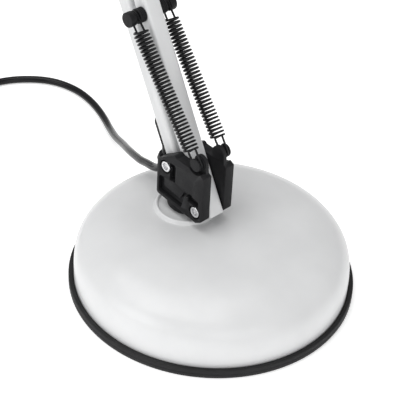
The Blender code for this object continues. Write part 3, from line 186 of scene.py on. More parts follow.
def mixFinish(name):
    # slow patches in the colour, a fine grain in the gloss and the bump, worn edges on some
    look = finishes[name]
    finish = bpy.data.materials.new(name)
    finish.use_nodes = True
    nodes, links = finish.node_tree.nodes, finish.node_tree.links
    shader = nodes["Principled BSDF"]
    spot = nodes.new("ShaderNodeTexCoord")
    patches = nodes.new("ShaderNodeTexNoise")
    patches.inputs["Scale"].default_value = look["patch"]
    patches.inputs["Detail"].default_value = 4.0
    links.new(spot.outputs["Object"], patches.inputs["Vector"])
    grain = nodes.new("ShaderNodeTexNoise")
    grain.inputs["Scale"].default_value = look["grain"]
    grain.inputs["Detail"].default_value = 2.0
    links.new(spot.outputs["Object"], grain.inputs["Vector"])
    tint = nodes.new("ShaderNodeValToRGB")
    tint.color_ramp.elements[0].position = 0.35
    tint.color_ramp.elements[0].color = (*look["deep"], 1.0)
    tint.color_ramp.elements[1].position = 0.65
    tint.color_ramp.elements[1].color = (*look["colour"], 1.0)
    links.new(patches.outputs["Fac"], tint.inputs["Fac"])
    coloured = tint.outputs["Color"]
    if "worn" in look:
        form = nodes.new("ShaderNodeNewGeometry")
        edge = nodes.new("ShaderNodeMapRange")
        edge.inputs["From Min"].default_value = 0.52
        edge.inputs["From Max"].default_value = 0.62
        edge.inputs["To Max"].default_value = 0.7
        links.new(form.outputs["Pointiness"], edge.inputs["Value"])
        worn = nodes.new("ShaderNodeMix")
        worn.data_type = "RGBA"
        links.new(edge.outputs["Result"], worn.inputs["Factor"])
        links.new(coloured, worn.inputs["A"])
        worn.inputs["B"].default_value = (*look["worn"], 1.0)
        coloured = worn.outputs["Result"]
    links.new(coloured, shader.inputs["Base Color"])
    gloss = nodes.new("ShaderNodeMapRange")
    gloss.inputs["To Min"].default_value = look["rough"][0]
    gloss.inputs["To Max"].default_value = look["rough"][1]
    links.new(grain.outputs["Fac"], gloss.inputs["Value"])
    links.new(gloss.outputs["Result"], shader.inputs["Roughness"])
    bump = nodes.new("ShaderNodeBump")
    bump.inputs["Strength"].default_value = look["bump"]
    bump.inputs["Distance"].default_value = 0.0002
    links.new(grain.outputs["Fac"], bump.inputs["Height"])
    links.new(bump.outputs["Normal"], shader.inputs["Normal"])
    shader.inputs["Metallic"].default_value = look.get("metal", 0.0)
    shader.inputs["Specular IOR Level"].default_value = look.get("shine", 0.5)
    shader.inputs["Coat Weight"].default_value = look.get("coat", 0.0)
    shader.inputs["Coat Roughness"].default_value = 0.2
    return finish


coats = {name: mixFinish(name) for name in finishes}
print("finishes mixed:", len(coats))


# ---- shaping helpers
def addPiece(name, mesh, coat, body=None, stands=()):
    piece = bpy.data.objects.new(name, mesh)
    bpy.context.scene.collection.objects.link(piece)
    mesh.materials.clear()
    mesh.materials.append(coats[coat])
    mesh.polygons.foreach_set("use_smooth", [True] * len(mesh.polygons))
    mesh.set_sharp_from_angle(angle=math.radians(38))
    if body:
        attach(piece, body)
    if stands:
        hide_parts(*stands)
    return piece


def asMesh(name, points, faces):
    mesh = bpy.data.meshes.new(name)
    mesh.from_pydata([(p[0] * mm, p[1] * mm, p[2] * mm) for p in points], [], faces)
    shell = bmesh.new()
    shell.from_mesh(mesh)
    bmesh.ops.recalc_face_normals(shell, faces=shell.faces)
    shell.to_mesh(mesh)
    shell.free()
    return mesh


def turned(name, profile, steps=64, closed=False, wave=None):
    # (radius, height) points turned about Z; a point at radius 0 is a pole
    points, rings = [], []
    for radius, height in profile:
        if radius < 1e-6:
            rings.append([len(points)] * steps)
            points.append((0.0, 0.0, height))
            continue
        rings.append([len(points) + k for k in range(steps)])
        for k in range(steps):
            angle = 2 * math.pi * k / steps
            reach = radius * (wave(angle, height) if wave else 1.0)
            points.append((reach * math.cos(angle), reach * math.sin(angle), height))
    pairs = list(zip(rings, rings[1:]))
    if closed:
        pairs.append((rings[-1], rings[0]))
    faces = []
    for low, high in pairs:
        for k in range(steps):
            corners = [low[k], low[(k + 1) % steps], high[(k + 1) % steps], high[k]]
            kept = list(dict.fromkeys(corners))
            if len(kept) > 2:
                faces.append(kept)
    return asMesh(name, points, faces)


def softened(profile, radius, steps=4):
    # the same outline with its inner corners rounded
    made = [profile[0]]
    for before, corner, after in zip(profile, profile[1:], profile[2:]):
        a, b, c = Vector(before), Vector(corner), Vector(after)
        cut = min(radius, 0.45 * (a - b).length, 0.45 * (c - b).length)
        if cut < 1e-4:
            made.append(corner)
            continue
        start = b + (a - b).normalized() * cut
        end = b + (c - b).normalized() * cut
        for k in range(steps + 1):
            t = k / steps
            made.append(tuple(start * (1 - t) ** 2 + b * 2 * t * (1 - t) + end * t * t))
    return made + [profile[-1]]


def roundedLoop(corners, steps=6):
    # a closed outline from (x, y, radius) corners
    made = []
    for i, (x, y, radius) in enumerate(corners):
        before, after = Vector(corners[i - 1][:2]), Vector(corners[(i + 1) % len(corners)][:2])
        corner = Vector((x, y))
        a, b = (before - corner).normalized(), (after - corner).normalized()
        half = 0.5 * a.angle(b)
        reach = radius / math.tan(half)
        centre = corner + (a + b).normalized() * radius / math.sin(half)
        first, last = corner + a * reach - centre, corner + b * reach - centre
        start = math.atan2(first.y, first.x)
        sweep = math.atan2(last.y, last.x) - start
        sweep = (sweep + math.pi) % (2 * math.pi) - math.pi
        for k in range(steps + 1):
            angle = start + sweep * k / steps
            made.append((centre.x + radius * math.cos(angle), centre.y + radius * math.sin(angle)))
    return made


def strapRound(discs, steps=40):
    # the outline of a strap pulled round (x, y, radius) discs
    points = []
    for x, y, radius in discs:
        for k in range(steps):
            angle = 2 * math.pi * k / steps
            points.append((round(x + radius * math.cos(angle), 5), round(y + radius * math.sin(angle), 5)))
    points = sorted(set(points))

    def side(run):
        chain = []
        for p in run:
            while len(chain) > 1 and ((chain[-1][0] - chain[-2][0]) * (p[1] - chain[-2][1])
                                      - (chain[-1][1] - chain[-2][1]) * (p[0] - chain[-2][0])) <= 1e-9:
                chain.pop()
            chain.append(p)
        return chain[:-1]
    return side(points) + side(points[::-1])


def slab(name, outline, low, high):
    # an (x, z) outline between two depths along Y
    count = len(outline)
    points = [(x, low, z) for x, z in outline] + [(x, high, z) for x, z in outline]
    faces = [list(range(count)), list(range(2 * count - 1, count - 1, -1))]
    faces += [[k, (k + 1) % count, count + (k + 1) % count, count + k] for k in range(count)]
    return asMesh(name, points, faces)


def drawnWire(name, points, radius, sides=10, capped=True):
    # a round wire or tube along points, without twist
    line = [Vector(p) for p in points]
    ways = [(line[min(i + 1, len(line) - 1)] - line[max(i - 1, 0)]).normalized() for i in range(len(line))]
    normal = ways[0].orthogonal().normalized()
    verts, faces = [], []
    for i, (point, way) in enumerate(zip(line, ways)):
        normal = (normal - way * normal.dot(way)).normalized()
        other = way.cross(normal)
        thick = radius(i) if callable(radius) else radius
        for k in range(sides):
            angle = 2 * math.pi * k / sides
            verts.append(point + (normal * math.cos(angle) + other * math.sin(angle)) * thick)
        if i:
            low, high = (i - 1) * sides, i * sides
            faces += [[low + k, low + (k + 1) % sides, high + (k + 1) % sides, high + k]
                      for k in range(sides)]
    if capped:
        faces.append(list(range(sides)))
        faces.append(list(range(len(verts) - 1, len(verts) - 1 - sides, -1)))
    return asMesh(name, verts, faces)


def smoothLine(route, spacing):
    knots = [Vector(p) for p in route]
    knots = [2 * knots[0] - knots[1]] + knots + [2 * knots[-1] - knots[-2]]
    fine = []
    for before, start, end, after in zip(knots, knots[1:], knots[2:], knots[3:]):
        for k in range(24):
            t = k / 24
            fine.append(0.5 * (2 * start + (end - before) * t
                               + (2 * before - 5 * start + 4 * end - after) * t * t
                               + (3 * start - before - 3 * end + after) * t ** 3))
    fine.append(knots[-2])
    reached = [0.0]
    for a, b in zip(fine, fine[1:]):
        reached.append(reached[-1] + (b - a).length)
    count = max(2, round(reached[-1] / spacing))
    made, at = [], 0
    for k in range(count + 1):
        wanted = reached[-1] * k / count
        while at < len(fine) - 2 and reached[at + 1] < wanted:
            at += 1
        share = (wanted - reached[at]) / max(reached[at + 1] - reached[at], 1e-9)
        made.append(fine[at].lerp(fine[at + 1], min(share, 1.0)))
    return made


def acrossAt(pivot, side):
    # puts a turned piece's Z along the pivot, outwards on that side
    return Matrix.Translation(Vector(pivot) * mm) @ Matrix.Rotation(-side * math.pi / 2, 4, "X")


def placed(mesh, where):
    mesh.transform(where)
    return mesh


def carved(name, mesh, cuts=(), joins=(), edge=0.0):
    # Booleans, then a fine bevel on the sharp edges, all applied
    piece = bpy.data.objects.new(name, mesh)
    bpy.context.scene.collection.objects.link(piece)
    tools = []
    for operation, shapes in (("UNION", joins), ("DIFFERENCE", cuts)):
        for shape in shapes:
            tool = bpy.data.objects.new(name + "Tool", shape)
            bpy.context.scene.collection.objects.link(tool)
            tools.append(tool)
            step = piece.modifiers.new(operation.lower(), "BOOLEAN")
            step.operation = operation
            step.solver = "EXACT"
            step.object = tool
    if edge:
        bevel = piece.modifiers.new("softEdge", "BEVEL")
        bevel.width = edge * mm
        bevel.segments = 2
        bevel.limit_method = "ANGLE"
        bevel.angle_limit = math.radians(45)
    bpy.context.view_layer.update()
    made = bpy.data.meshes.new_from_object(piece.evaluated_get(bpy.context.evaluated_depsgraph_get()))
    for thing in [piece] + tools:
        bpy.data.objects.remove(thing)
    made.name = name
    return made


# ---- mains cord: its own stretch, the coil and the tail are one length
cordSetup = {
    "radius": 2.8,
    "length": 1800.0,
    "exit": (-51.3, 0.0, 68.6),
    "coilCentre": (-250.0, -65.0),
    "coilLift": 1.2,
    "turnSteps": 26,
    "swivelSide": (-190.0, 60.0, 3.0),      # beyond this the cord stays with the base
}
cordRoute = [cordSetup["exit"], (-52.4, 0.1, 64.6), (-55.2, 0.5, 60.3), (-59.7, 1.4, 56.7),
             (-66.0, 3.0, 53.7), (-74.4, 5.7, 50.0), (-85.4, 9.2, 45.0), (-106.6, 18.5, 35.5),
             (-127.4, 29.5, 25.0), (-149.2, 40.4, 14.5), (-169.6, 51.4, 6.6), (-185.8, 59.4, 3.3),
             (-198.9, 63.9, 2.8), (-212.1, 66.7, 2.8), (-226.4, 67.6, 2.8), (-239.2, 65.6, 2.8),
             (-250.9, 61.2, 2.8), (-260.8, 54.1, 2.8), (-268.9, 45.1, 2.8), (-275.3, 34.9, 2.8),
             (-279.6, 23.0, 2.8), (-283.0, 4.0, 2.8), (-285.8, -20.0, 3.0), (-287.6, -42.0, 3.6)]
tailRoute = [(-238.0, -108.4, 11.2), (-224.0, -107.6, 8.6), (-210.0, -106.0, 7.1),
             (-204.0, -105.2, 7.0), (-198.0, -105.0, 7.0)]


def coilTurns():
    # three layers of turns: outside in, inside out and in again, with the end led out on top
    wide = 2 * cordSetup["radius"]
    low = cordSetup["coilLift"] + cordSetup["radius"]
    stops = [(0.0, 36.8, low), (2.0, 25.2, low), (2.25, 24.6, low + wide), (4.25, 36.4, low + wide),
             (4.5, 36.8, low + 2 * wide), (6.5, 25.2, low + 2 * wide), (6.8, 25.5, low + 2.9 * wide),
             (7.1, 33.5, low + 3 * wide), (7.25, 39.5, low + 2.6 * wide)]
    centre = cordSetup["coilCentre"]
    made = []
    count = int(stops[-1][0] * cordSetup["turnSteps"])
    for k in range(1, count):
        turn = stops[-1][0] * k / count
        for (t0, r0, z0), (t1, r1, z1) in zip(stops, stops[1:]):
            if t0 <= turn <= t1:
                share = (turn - t0) / (t1 - t0)
                share = share * share * (3 - 2 * share)
                reach, height = r0 + (r1 - r0) * share, z0 + (z1 - z0) * share
                break
        angle = math.pi + 2 * math.pi * turn
        made.append((centre[0] + reach * math.cos(angle), centre[1] + reach * math.sin(angle), height))
    return made


def layCord():
    line = smoothLine(cordRoute + coilTurns() + tailRoute, 3.2)
    length = sum((b - a).length for a, b in zip(line, line[1:]))
    print("cord laid, %.0f mm long" % length)
    flex = addPiece("mainsFlex", drawnWire("mainsFlex", line, cordSetup["radius"], 14), "cordSheath", None,
                    ("mains_cord", "cord_tail", "cord_coil"))
    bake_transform(flex)
    return flex, line


plugSetup = {
    "start": (-197.7, -105.0),
    "reliefLength": 24.0,
    "bodyLength": 38.0,
    "halfWidth": 17.0,
    "halfThickness": 6.9,
    "pinSpacing": 18.6,
    "pinLength": 19.0,
    "pinRadius": 2.0,
}


def mouldPlug():
    p = plugSetup
    x0, y0 = p["start"]
    z0 = p["halfThickness"]
    front = x0 + p["reliefLength"]
    stations = [(0.0, 5.2, 5.0), (1.5, 7.6, 5.7), (5.0, 9.6, 6.2), (10.0, 13.6, 6.6), (15.0, 16.5, 6.9),
                (20.0, 17.0, 6.9), (30.0, 16.6, 6.8), (35.0, 16.4, 6.7), (37.4, 15.8, 6.3), (38.0, 14.6, 5.4)]
    steps = 48
    verts, faces = [], []
    for i, (along, half, thick) in enumerate(stations):
        for k in range(steps):
            angle = 2 * math.pi * k / steps
            c, s = math.cos(angle), math.sin(angle)
            verts.append((front + along, y0 + half * math.copysign(abs(c) ** 0.55, c),
                          z0 + thick * math.copysign(abs(s) ** 0.55, s)))
        if i:
            a, b = (i - 1) * steps, i * steps
            faces += [[a + k, a + (k + 1) % steps, b + (k + 1) % steps, b + k] for k in range(steps)]
    faces += [list(range(steps)), list(range(len(verts) - 1, len(verts) - 1 - steps, -1))]
    body = addPiece("plugBody", asMesh("plugBody", verts, faces), "plugBlack", "base", ("mains_plug",))
    ribs = []
    for k in range(7):        # the relief's ribs, thinner towards the cord
        at, size = 3.0 * k + 1.2, 3.5 + 0.24 * k
        ribs += [(size, at), (size, at + 1.7), (size - 0.7, at + 2.0), (size - 0.7, at + 2.7)]
    end = p["reliefLength"] + 2.0
    profile = [(2.9, 0.0), (3.4, 0.4)] + ribs + [(5.0, 22.5), (5.1, end), (0.0, end)]
    lie = Matrix.Translation((x0 * mm, y0 * mm, 7.0 * mm)) @ Matrix.Rotation(math.pi / 2, 4, "Y")
    relief = addPiece("plugRelief", placed(turned("plugRelief", profile, 32), lie), "plugBlack", "base")
    pins = []
    for side in (-1, 1):
        r, reach = p["pinRadius"], p["pinLength"]
        outline = softened([(0.0, reach), (r - 0.5, reach), (r, reach - 1.0), (r, 9.5), (r + 0.05, 9.4),
                            (r + 0.05, 0.0), (0.0, 0.0)], 0.5)
        pinLie = Matrix.Translation(((front + 37.6) * mm, (y0 + side * p["pinSpacing"] / 2) * mm, z0 * mm)) \
            @ Matrix.Rotation(math.pi / 2, 4, "Y")
        pins.append(addPiece("plugPin%d" % (side + 2), placed(turned("plugPin", outline, 24), pinLie),
                             "polishedSteel", "base"))
    return [body, relief] + pins


tieSetup = {"across": 9.8 + 0.3, "low": 0.9, "high": 18.3, "thick": 0.85, "width": 5.6}


def bindCoil():
    t = tieSetup
    loops = []
    for grow in (0.0, t["thick"]):
        loops.append(roundedLoop([(-t["across"] - grow, t["low"] - grow, 1.2 + grow),
                                  (t["across"] + grow, t["low"] - grow, 1.2 + grow),
                                  (t["across"] + grow, t["high"] + grow, 2.2 + grow),
                                  (-t["across"] - grow, t["high"] + grow, 2.2 + grow)], 6))
    mesh = sleeve("coilTie", loops[1], loops[0], -t["width"] / 2, t["width"] / 2)
    x, y = cordSetup["coilCentre"]
    mesh.transform(Matrix.Translation(((x + 30.0) * mm, y * mm, 0)))
    return addPiece("coilTie", mesh, "cordSheath", "base", ("cord_tie",))


def sleeve(name, outer, inner, low, high):
    # a ring of material between two outlines of equal count, along Y
    count = len(outer)
    points = [(x, low, z) for x, z in outer] + [(x, high, z) for x, z in outer]
    points += [(x, low, z) for x, z in inner] + [(x, high, z) for x, z in inner]
    faces = []
    for k in range(count):
        n = (k + 1) % count
        faces += [[k, n, count + n, count + k], [2 * count + k, 2 * count + n, 3 * count + n, 3 * count + k],
                  [k, n, 2 * count + n, 2 * count + k], [count + k, count + n, 3 * count + n, 3 * count + k]]
    return asMesh(name, points, faces)


mainsFlex, cordLine = layCord()
plugPieces = mouldPlug()
coilTie = bindCoil()


# ---- weighted base
domeSetup = {
    "ringTop": 6.4,
    "crown": 45.0,
    "sidePower": 3.24,
    "risePower": 4.11,
    "sheet": 1.2,
    "skirt": 1.9,
    "rays": 168,
    "hole": 6.0,
    "floorHeight": 45.6,
    "lipInside": 18.4,
    "lipCrest": 19.9,
    "lipOutside": 22.0,
}


def spinDome():
    d = domeSetup
    low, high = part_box("base_dome")
    radius, lipTop = high.x / mm, high.z / mm
    rise = d["crown"] - d["ringTop"]

    def height(reach):
        share = min(reach / radius, 1.0)
        return d["ringTop"] + rise * (1 - share ** d["sidePower"]) ** (1 / d["risePower"])

    def ease(value, start, end):
        t = min(max((value - start) / (end - start), 0.0), 1.0)
        return t * t * (3 - 2 * t)

    def lip(out, surface):
        if out < d["lipCrest"]:
            climb = ease(out, d["lipInside"], d["lipCrest"] - 0.4)
            return d["floorHeight"] + (lipTop - d["floorHeight"]) * climb
        return lipTop + (surface - lipTop) * ease(out, d["lipCrest"] + 0.3, d["lipOutside"])

    def reachTo(ring, angle):
        # how far from the post, that way, to a circle about the base's middle
        along = postAt.x * math.cos(angle)
        return -along + math.sqrt(along * along - postAt.x ** 2 + ring * ring)

    near = [6.0, 10.0, 14.0, 17.0] + [18.0 + 0.25 * k for k in range(18)] + [23.0, 25.0, 27.5, 30.0]
    join = 66.0
    joinAngle = math.acos((join / radius) ** (d["sidePower"] / 2))
    rings = []
    for out in near:
        rings.append(("post", out))
    for k in range(1, 7):
        rings.append(("mix", k / 7))
    for k in range(34):
        rings.append(("base", joinAngle * (1 - k / 34)))
    verts = []
    angles = [2 * math.pi * k / d["rays"] for k in range(d["rays"])]
    for kind, value in rings:
        for angle in angles:
            if kind == "post":
                out = value
            elif kind == "mix":
                out = near[-1] + (reachTo(join, angle) - near[-1]) * value
            else:
                out = reachTo(radius * math.cos(value) ** (2 / d["sidePower"]), angle)
            x, y = postAt.x + out * math.cos(angle), out * math.sin(angle)
            reach = math.hypot(x, y)
            z = height(reach)
            if kind == "base":
                z = d["ringTop"] + rise * math.sin(value) ** (2 / d["risePower"])
            if kind == "post":
                z = lip(out, z)
            verts.append((x, y, z))
    under = [(radius, d["skirt"]), (radius - d["sheet"], d["skirt"])]
    for k in range(12):        # the sheet's underside follows the outside
        angle = joinAngle * k / 11
        under.append(((radius - d["sheet"]) * math.cos(angle) ** (2 / d["sidePower"]),
                      d["ringTop"] + (rise - d["sheet"]) * math.sin(angle) ** (2 / d["risePower"])))
    for out, z in under:
        for angle in angles:
            far = reachTo(out, angle)
            verts.append((postAt.x + far * math.cos(angle), far * math.sin(angle), z))
    for angle in angles:
        verts.append((postAt.x + d["hole"] * math.cos(angle), d["hole"] * math.sin(angle), d["crown"] - 3.4))
    count = len(verts) // d["rays"]
    faces = []
    for i in range(count):
        a, b = i * d["rays"], (i + 1) % count * d["rays"]
        for k in range(d["rays"]):
            n = (k + 1) % d["rays"]
            faces.append([a + k, a + n, b + n, b + k])
    return addPiece("enamelDome", asMesh("enamelDome", verts, faces), "whiteEnamel", "base", ("base_dome",))


def wrapEdge():
    low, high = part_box("base_edge_ring")
    out, top = high.x / mm + 1.0, high.z / mm
    wall, lipReach, lipThick = 3.1, 12.0, 1.6
    profile = [(out - wall, top - 0.2), (out - wall + 0.3, top), (out - 0.9, top), (out - 0.3, top - 0.2),
               (out, top - 0.8), (out, 3.6), (out - 0.25, 3.3), (out, 3.0), (out, 1.0), (out - 0.3, 0.3),
               (out - 0.9, 0.0), (out - lipReach, 0.0), (out - lipReach, lipThick), (out - wall, lipThick)]
    return addPiece("rubberEdge", turned("rubberEdge", profile, 160, closed=True), "edgeRubber", "base",
                    ("base_edge_ring",))


def turnHub():
    low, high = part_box("bracket_hub")
    bottom, top, wide = low.z / mm, high.z / mm, (high.x - low.x) / mm / 2
    bore, neck, flange = 4.3, 6.0, 5.2
    profile = [(bore, top - 2.9)] + softened([(bore, bottom), (wide, bottom), (wide, bottom + flange),
                                              (neck, bottom + flange + 1.6), (neck, top), (0.0, top)], 0.9)
    profile += [(0.0, top - 2.9)]
    mesh = turned("hubFlange", profile, 96)
    mesh.transform(Matrix.Translation((postAt.x * mm, 0, 0)))
    return addPiece("hubFlange", mesh, "mouldedBlack", "bracket", ("bracket_hub",))


spinDome()
wrapEdge()
turnHub()
print("base spun")


# ---- side plates
plateSetup = {
    "inner": 6.35,
    "thick": 7.0,
    "headThick": 5.0,
    "pad": 8.5,
    "rim": 2.2,
    "pocket": 1.1,
    "pegStep": (-1.1, 37.7),
    "grooveAt": 11.0,
    "groove": 2.8,
    "screwBore": 2.8,
    "screwRecess": 4.9,
    "recessDepth": 2.3,
}


def drillFor(pivot, side, outer):
    p = plateSetup
    floor = outer - p["recessDepth"]
    profile = [(0.0, outer + 2), (p["screwRecess"] + 0.25, outer + 2), (p["screwRecess"] + 0.25, outer),
               (p["screwRecess"], outer - 0.3), (p["screwRecess"], floor), (p["screwBore"], floor),
               (p["screwBore"], p["inner"] - 2), (0.0, p["inner"] - 2)]
    return placed(turned("drill", profile, 40), acrossAt(pivot, side))


def pocketCut(outline, depth, outer, side):
    low, high = sorted((side * (outer - depth), side * (outer + 2)))
    return slab("pocket", outline, low, high)


def springPeg(peg, side, outer):
    # the grooved stub that a spring hooks on
    p = plateSetup
    gIn, gOut = p["grooveAt"] - p["groove"] / 2, p["grooveAt"] + p["groove"] / 2
    end = outer + 0.4
    profile = softened([(0.0, end), (4.5, end), (4.5, gOut + 0.2), (3.2, gOut - 0.3), (3.2, gIn + 0.3),
                        (4.5, gIn), (4.5, p["inner"] + 0.5), (0.0, p["inner"] + 0.5)], 0.45, 4)
    return placed(turned("stub", profile, 48), acrossAt(peg, side))


def bracketOutline():
    front, rear = frontPivot.x + 7.1, rearPivot.x - 7.5
    bottom, top = frontPivot.z - 7.6, rearPivot.z + 12.5
    return roundedLoop([(rear, bottom + 3.1, 2.0), (front - 5.6, bottom, 3.0), (front, bottom + 3.4, 2.5),
                        (front, top - 2.1, 1.2), (-3.0, top, 1.0), (-24.0, top, 2.0), (-26.5, top + 1.6, 2.0),
                        (rear, rearPivot.z + 3.2, 4.5)], 6)


def bracketPocket():
    # the sunk field of the outer face, under the rear boss and behind the front one
    rear, low = rearPivot.x - 5.6, frontPivot.z - 2.2
    return roundedLoop([(rear, low, 1.4), (frontPivot.x - 12.6, low - 1.2, 1.4),
                        (frontPivot.x - 9.4, 66.6, 2.5),
                        (frontPivot.x - 3.0, 68.6, 2.0), (frontPivot.x - 1.6, 80.0, 2.0), (-22.0, 84.5, 2.0),
                        (-26.8, 84.0, 1.2), (-27.4, 70.8, 1.6), (rear, 69.8, 1.6)], 5)


def bracketField():
    # what stays standing in the sunk field, so the field is deep along the rim only
    rear, low = rearPivot.x - 1.2, frontPivot.z + 2.4
    return roundedLoop([(rear, low + 1.6, 2.0), (frontPivot.x - 14.2, low + 0.2, 2.0),
                        (frontPivot.x - 10.6, 68.6, 2.0), (frontPivot.x + 2.4, 70.4, 2.0),
                        (frontPivot.x + 1.0, 84.0, 2.0), (-20.0, 87.6, 1.5), (-25.2, 87.4, 1.0),
                        (-26.0, 72.0, 1.5), (rear, 71.0, 1.5)], 4)


def mouldBracket(side, label):
    p = plateSetup
    outer = p["inner"] + p["thick"]
    low, high = sorted((side * p["inner"], side * outer))
    peg = frontPivot + Vector((p["pegStep"][0], 0, p["pegStep"][1]))
    root = (peg.x + 0.5, peg.z - 15.0)
    notch = placed(turned("notch", [(0.0, outer + 2), (7.3, outer + 2), (7.3, p["grooveAt"] - 2.6),
                                    (0.0, p["grooveAt"] - 2.6)], 48), acrossAt(peg, side))
    webLow, webHigh = sorted((side * (p["inner"] + 0.15), side * (p["grooveAt"] - 2.0)))
    web = slab("web", strapRound([(peg.x, peg.z, 5.3), (*root, 6.0)]), webLow, webHigh)
    slot = roundedLoop([(-30.2, 71.0, 0.8), (-25.2, 71.0, 0.8), (-25.2, 85.0, 0.8), (-30.2, 85.0, 0.8)], 4)
    dip = roundedLoop([(frontPivot.x - 6.4, 64.0, 1.0), (frontPivot.x + 3.4, 64.0, 1.0),
                       (frontPivot.x + 3.4, 68.8, 1.0), (frontPivot.x - 6.4, 70.6, 1.0)], 4)
    plate = carved("plate", slab("plate", bracketOutline(), low, high), [notch])
    cuts = [pocketCut(bracketPocket(), 2.9, outer, side), pocketCut(slot, 4.0, outer, side),
            pocketCut(dip, 3.4, outer, side)]
    cuts += [drillFor(pivot, side, outer) for pivot in (rearPivot, frontPivot)]
    fieldLow, fieldHigh = sorted((side * (outer - 5.5), side * (outer - 0.35)))
    plate = carved("plate", plate, cuts[:1])
    field = carved("field", slab("field", bracketField(), fieldLow, fieldHigh), [], [], 2.0)
    mesh = carved("bracketPlate" + label, plate, cuts[1:], [field, web, springPeg(peg, side, outer)], 0.3)
    return addPiece("bracketPlate" + label, mesh, "mouldedBlack", "bracket", ("bracket_" + label.lower(),))


def elbowPlate(side, label):
    p = plateSetup
    outer = p["inner"] + p["thick"]
    low, high = sorted((side * p["inner"], side * outer))
    ear = (elbowRear.x - 6.5, elbowRear.z + 14.5, 5.0)
    pads = [(pivot.x, pivot.z) for pivot in (elbowFront, elbowRear, upperLow, upperHigh)]
    outline = strapRound([(*pad, p["pad"]) for pad in pads] + [ear], 56)
    middle = [sum(pad[i] for pad in pads) / 4 for i in (0, 1)]
    peg = upperLow + Vector((p["pegStep"][0], 0, p["pegStep"][1]))
    root = (peg.x - 1.5, peg.z - 15.0)
    notch = placed(turned("notch", [(0.0, outer + 2), (7.3, outer + 2), (7.3, p["grooveAt"] - 2.6),
                                    (0.0, p["grooveAt"] - 2.6)], 48), acrossAt(peg, side))
    webLow, webHigh = sorted((side * (p["inner"] + 0.15), side * (p["grooveAt"] - 2.0)))
    web = slab("web", strapRound([(peg.x, peg.z, 5.3), (*root, 6.0)]), webLow, webHigh)
    pocket = strapRound([(x + (middle[0] - x) * 0.62, z + (middle[1] - z) * 0.62, 3.2) for x, z in pads], 40)
    plate = carved("plate", slab("plate", outline, low, high), [notch])
    cuts = [pocketCut(pocket, p["pocket"], outer, side)]
    cuts += [drillFor(pivot, side, outer) for pivot in (elbowFront, elbowRear, upperLow, upperHigh)]
    mesh = carved("elbowPlate" + label, plate, cuts, [web, springPeg(peg, side, outer)], 0.3)
    return addPiece("elbowPlate" + label, mesh, "mouldedBlack", "elbow", ("elbow_" + label.lower(),))


def headPlate(side, label):
    p = plateSetup
    outer = p["inner"] + p["headThick"]
    low, high = sorted((side * p["inner"], side * outer))
    pads = [(headLow.x, headLow.z, p["pad"]), (headHigh.x, headHigh.z, p["pad"]),
            (tiltPivot.x, tiltPivot.z, p["pad"] + 1.0), (headHigh.x + 14.0, headHigh.z + 9.5, 4.5)]
    pocket = strapRound([(headLow.x + 12.0, headLow.z + 3.0, 2.4), (headHigh.x + 10.0, headHigh.z - 2.0, 2.4),
                         (tiltPivot.x - 12.5, tiltPivot.z + 1.5, 2.4)], 32)
    cuts = [pocketCut(pocket, p["pocket"], outer, side)]
    cuts += [drillFor(pivot, side, outer) for pivot in (headLow, headHigh, tiltPivot)]
    mesh = carved("headPlate" + label, slab("plate", strapRound(pads, 56), low, high), cuts, [], 0.3)
    return addPiece("headPlate" + label, mesh, "mouldedBlack", "head", ("head_plate_" + label.lower(),))


for side, label in ((-1, "Right"), (1, "Left")):
    mouldBracket(side, label)
    elbowPlate(side, label)
    headPlate(side, label)
print("side plates moulded")


# ---- screws, nuts and rivets
fixingSetup = {"headRadius": 4.0, "head": 2.0, "shank": 2.5, "socket": 2.7, "below": 0.2}


def hexTool(pivot, side, flats, low, high):
    mesh = turned("hexTool", [(0.0, high), (flats, high), (flats, low), (0.0, low)], 6)
    return placed(mesh, acrossAt(pivot, side))


def pivotScrew(name, pivot, outer, node, body, side=-1, reach=11.0):
    f = fixingSetup
    face = outer - f["below"]
    profile = softened([(0.0, face), (f["headRadius"] - 0.2, face), (f["headRadius"], face - 0.9),
                        (f["headRadius"], face - f["head"]), (f["shank"], face - f["head"]),
                        (f["shank"], -reach), (0.0, -reach)], 0.5)
    mesh = placed(turned(name, profile, 40), acrossAt(pivot, side))
    mesh = carved(name, mesh, [hexTool(pivot, side, f["socket"], face - 1.5, face + 1)], [], 0.12)
    return addPiece(name, mesh, "polishedSteel", body, (node,))


def lockNut(name, pivot, outer, node):
    f = fixingSetup
    face = outer - f["below"]
    mesh = placed(turned(name, [(2.8, face - f["head"]), (2.8, face), (f["headRadius"], face),
                                (f["headRadius"], face - f["head"])], 6, closed=True), acrossAt(pivot, 1))
    return addPiece(name, carved(name, mesh, [], [], 0.2), "polishedSteel", "bracket", (node,))


def rivet(name, pivot, outer, node, body):
    f = fixingSetup
    face = outer - f["below"]
    half = [(0.0, face), (2.4, face - 0.15), (3.4, face - 0.5), (f["headRadius"], face - 1.1),
            (f["headRadius"], face - f["head"]), (f["shank"], face - f["head"])]
    profile = half + [(radius, -height) for radius, height in half[::-1]]
    mesh = placed(turned(name, profile, 40), acrossAt(pivot, -1))
    return addPiece(name, mesh, "polishedSteel", body, (node,))


plateOuter = plateSetup["inner"] + plateSetup["thick"]
headOuter = plateSetup["inner"] + plateSetup["headThick"]
pivotScrew("rearScrew", rearPivot, plateOuter, "pivot_screw_rear", "bracket")
pivotScrew("frontScrew", frontPivot, plateOuter, "pivot_screw_front", "bracket")
lockNut("rearNut", rearPivot, plateOuter, "pivot_nut_rear")
lockNut("frontNut", frontPivot, plateOuter, "pivot_nut_front")
for k, pivot in enumerate((elbowFront, elbowRear, upperLow, upperHigh)):
    rivet("elbowRivet%d" % (k + 1), pivot, plateOuter, "elbow_rivet_%d" % (k + 1), "elbow")
for k, pivot in enumerate((headLow, headHigh)):
    rivet("headRivet%d" % (k + 1), pivot, headOuter, "head_rivet_%d" % (k + 1), "head")
pivotScrew("tiltScrew", tiltPivot, headOuter, "tilt_screw", "head", 1, headOuter + 8.0)
print("fixings set")


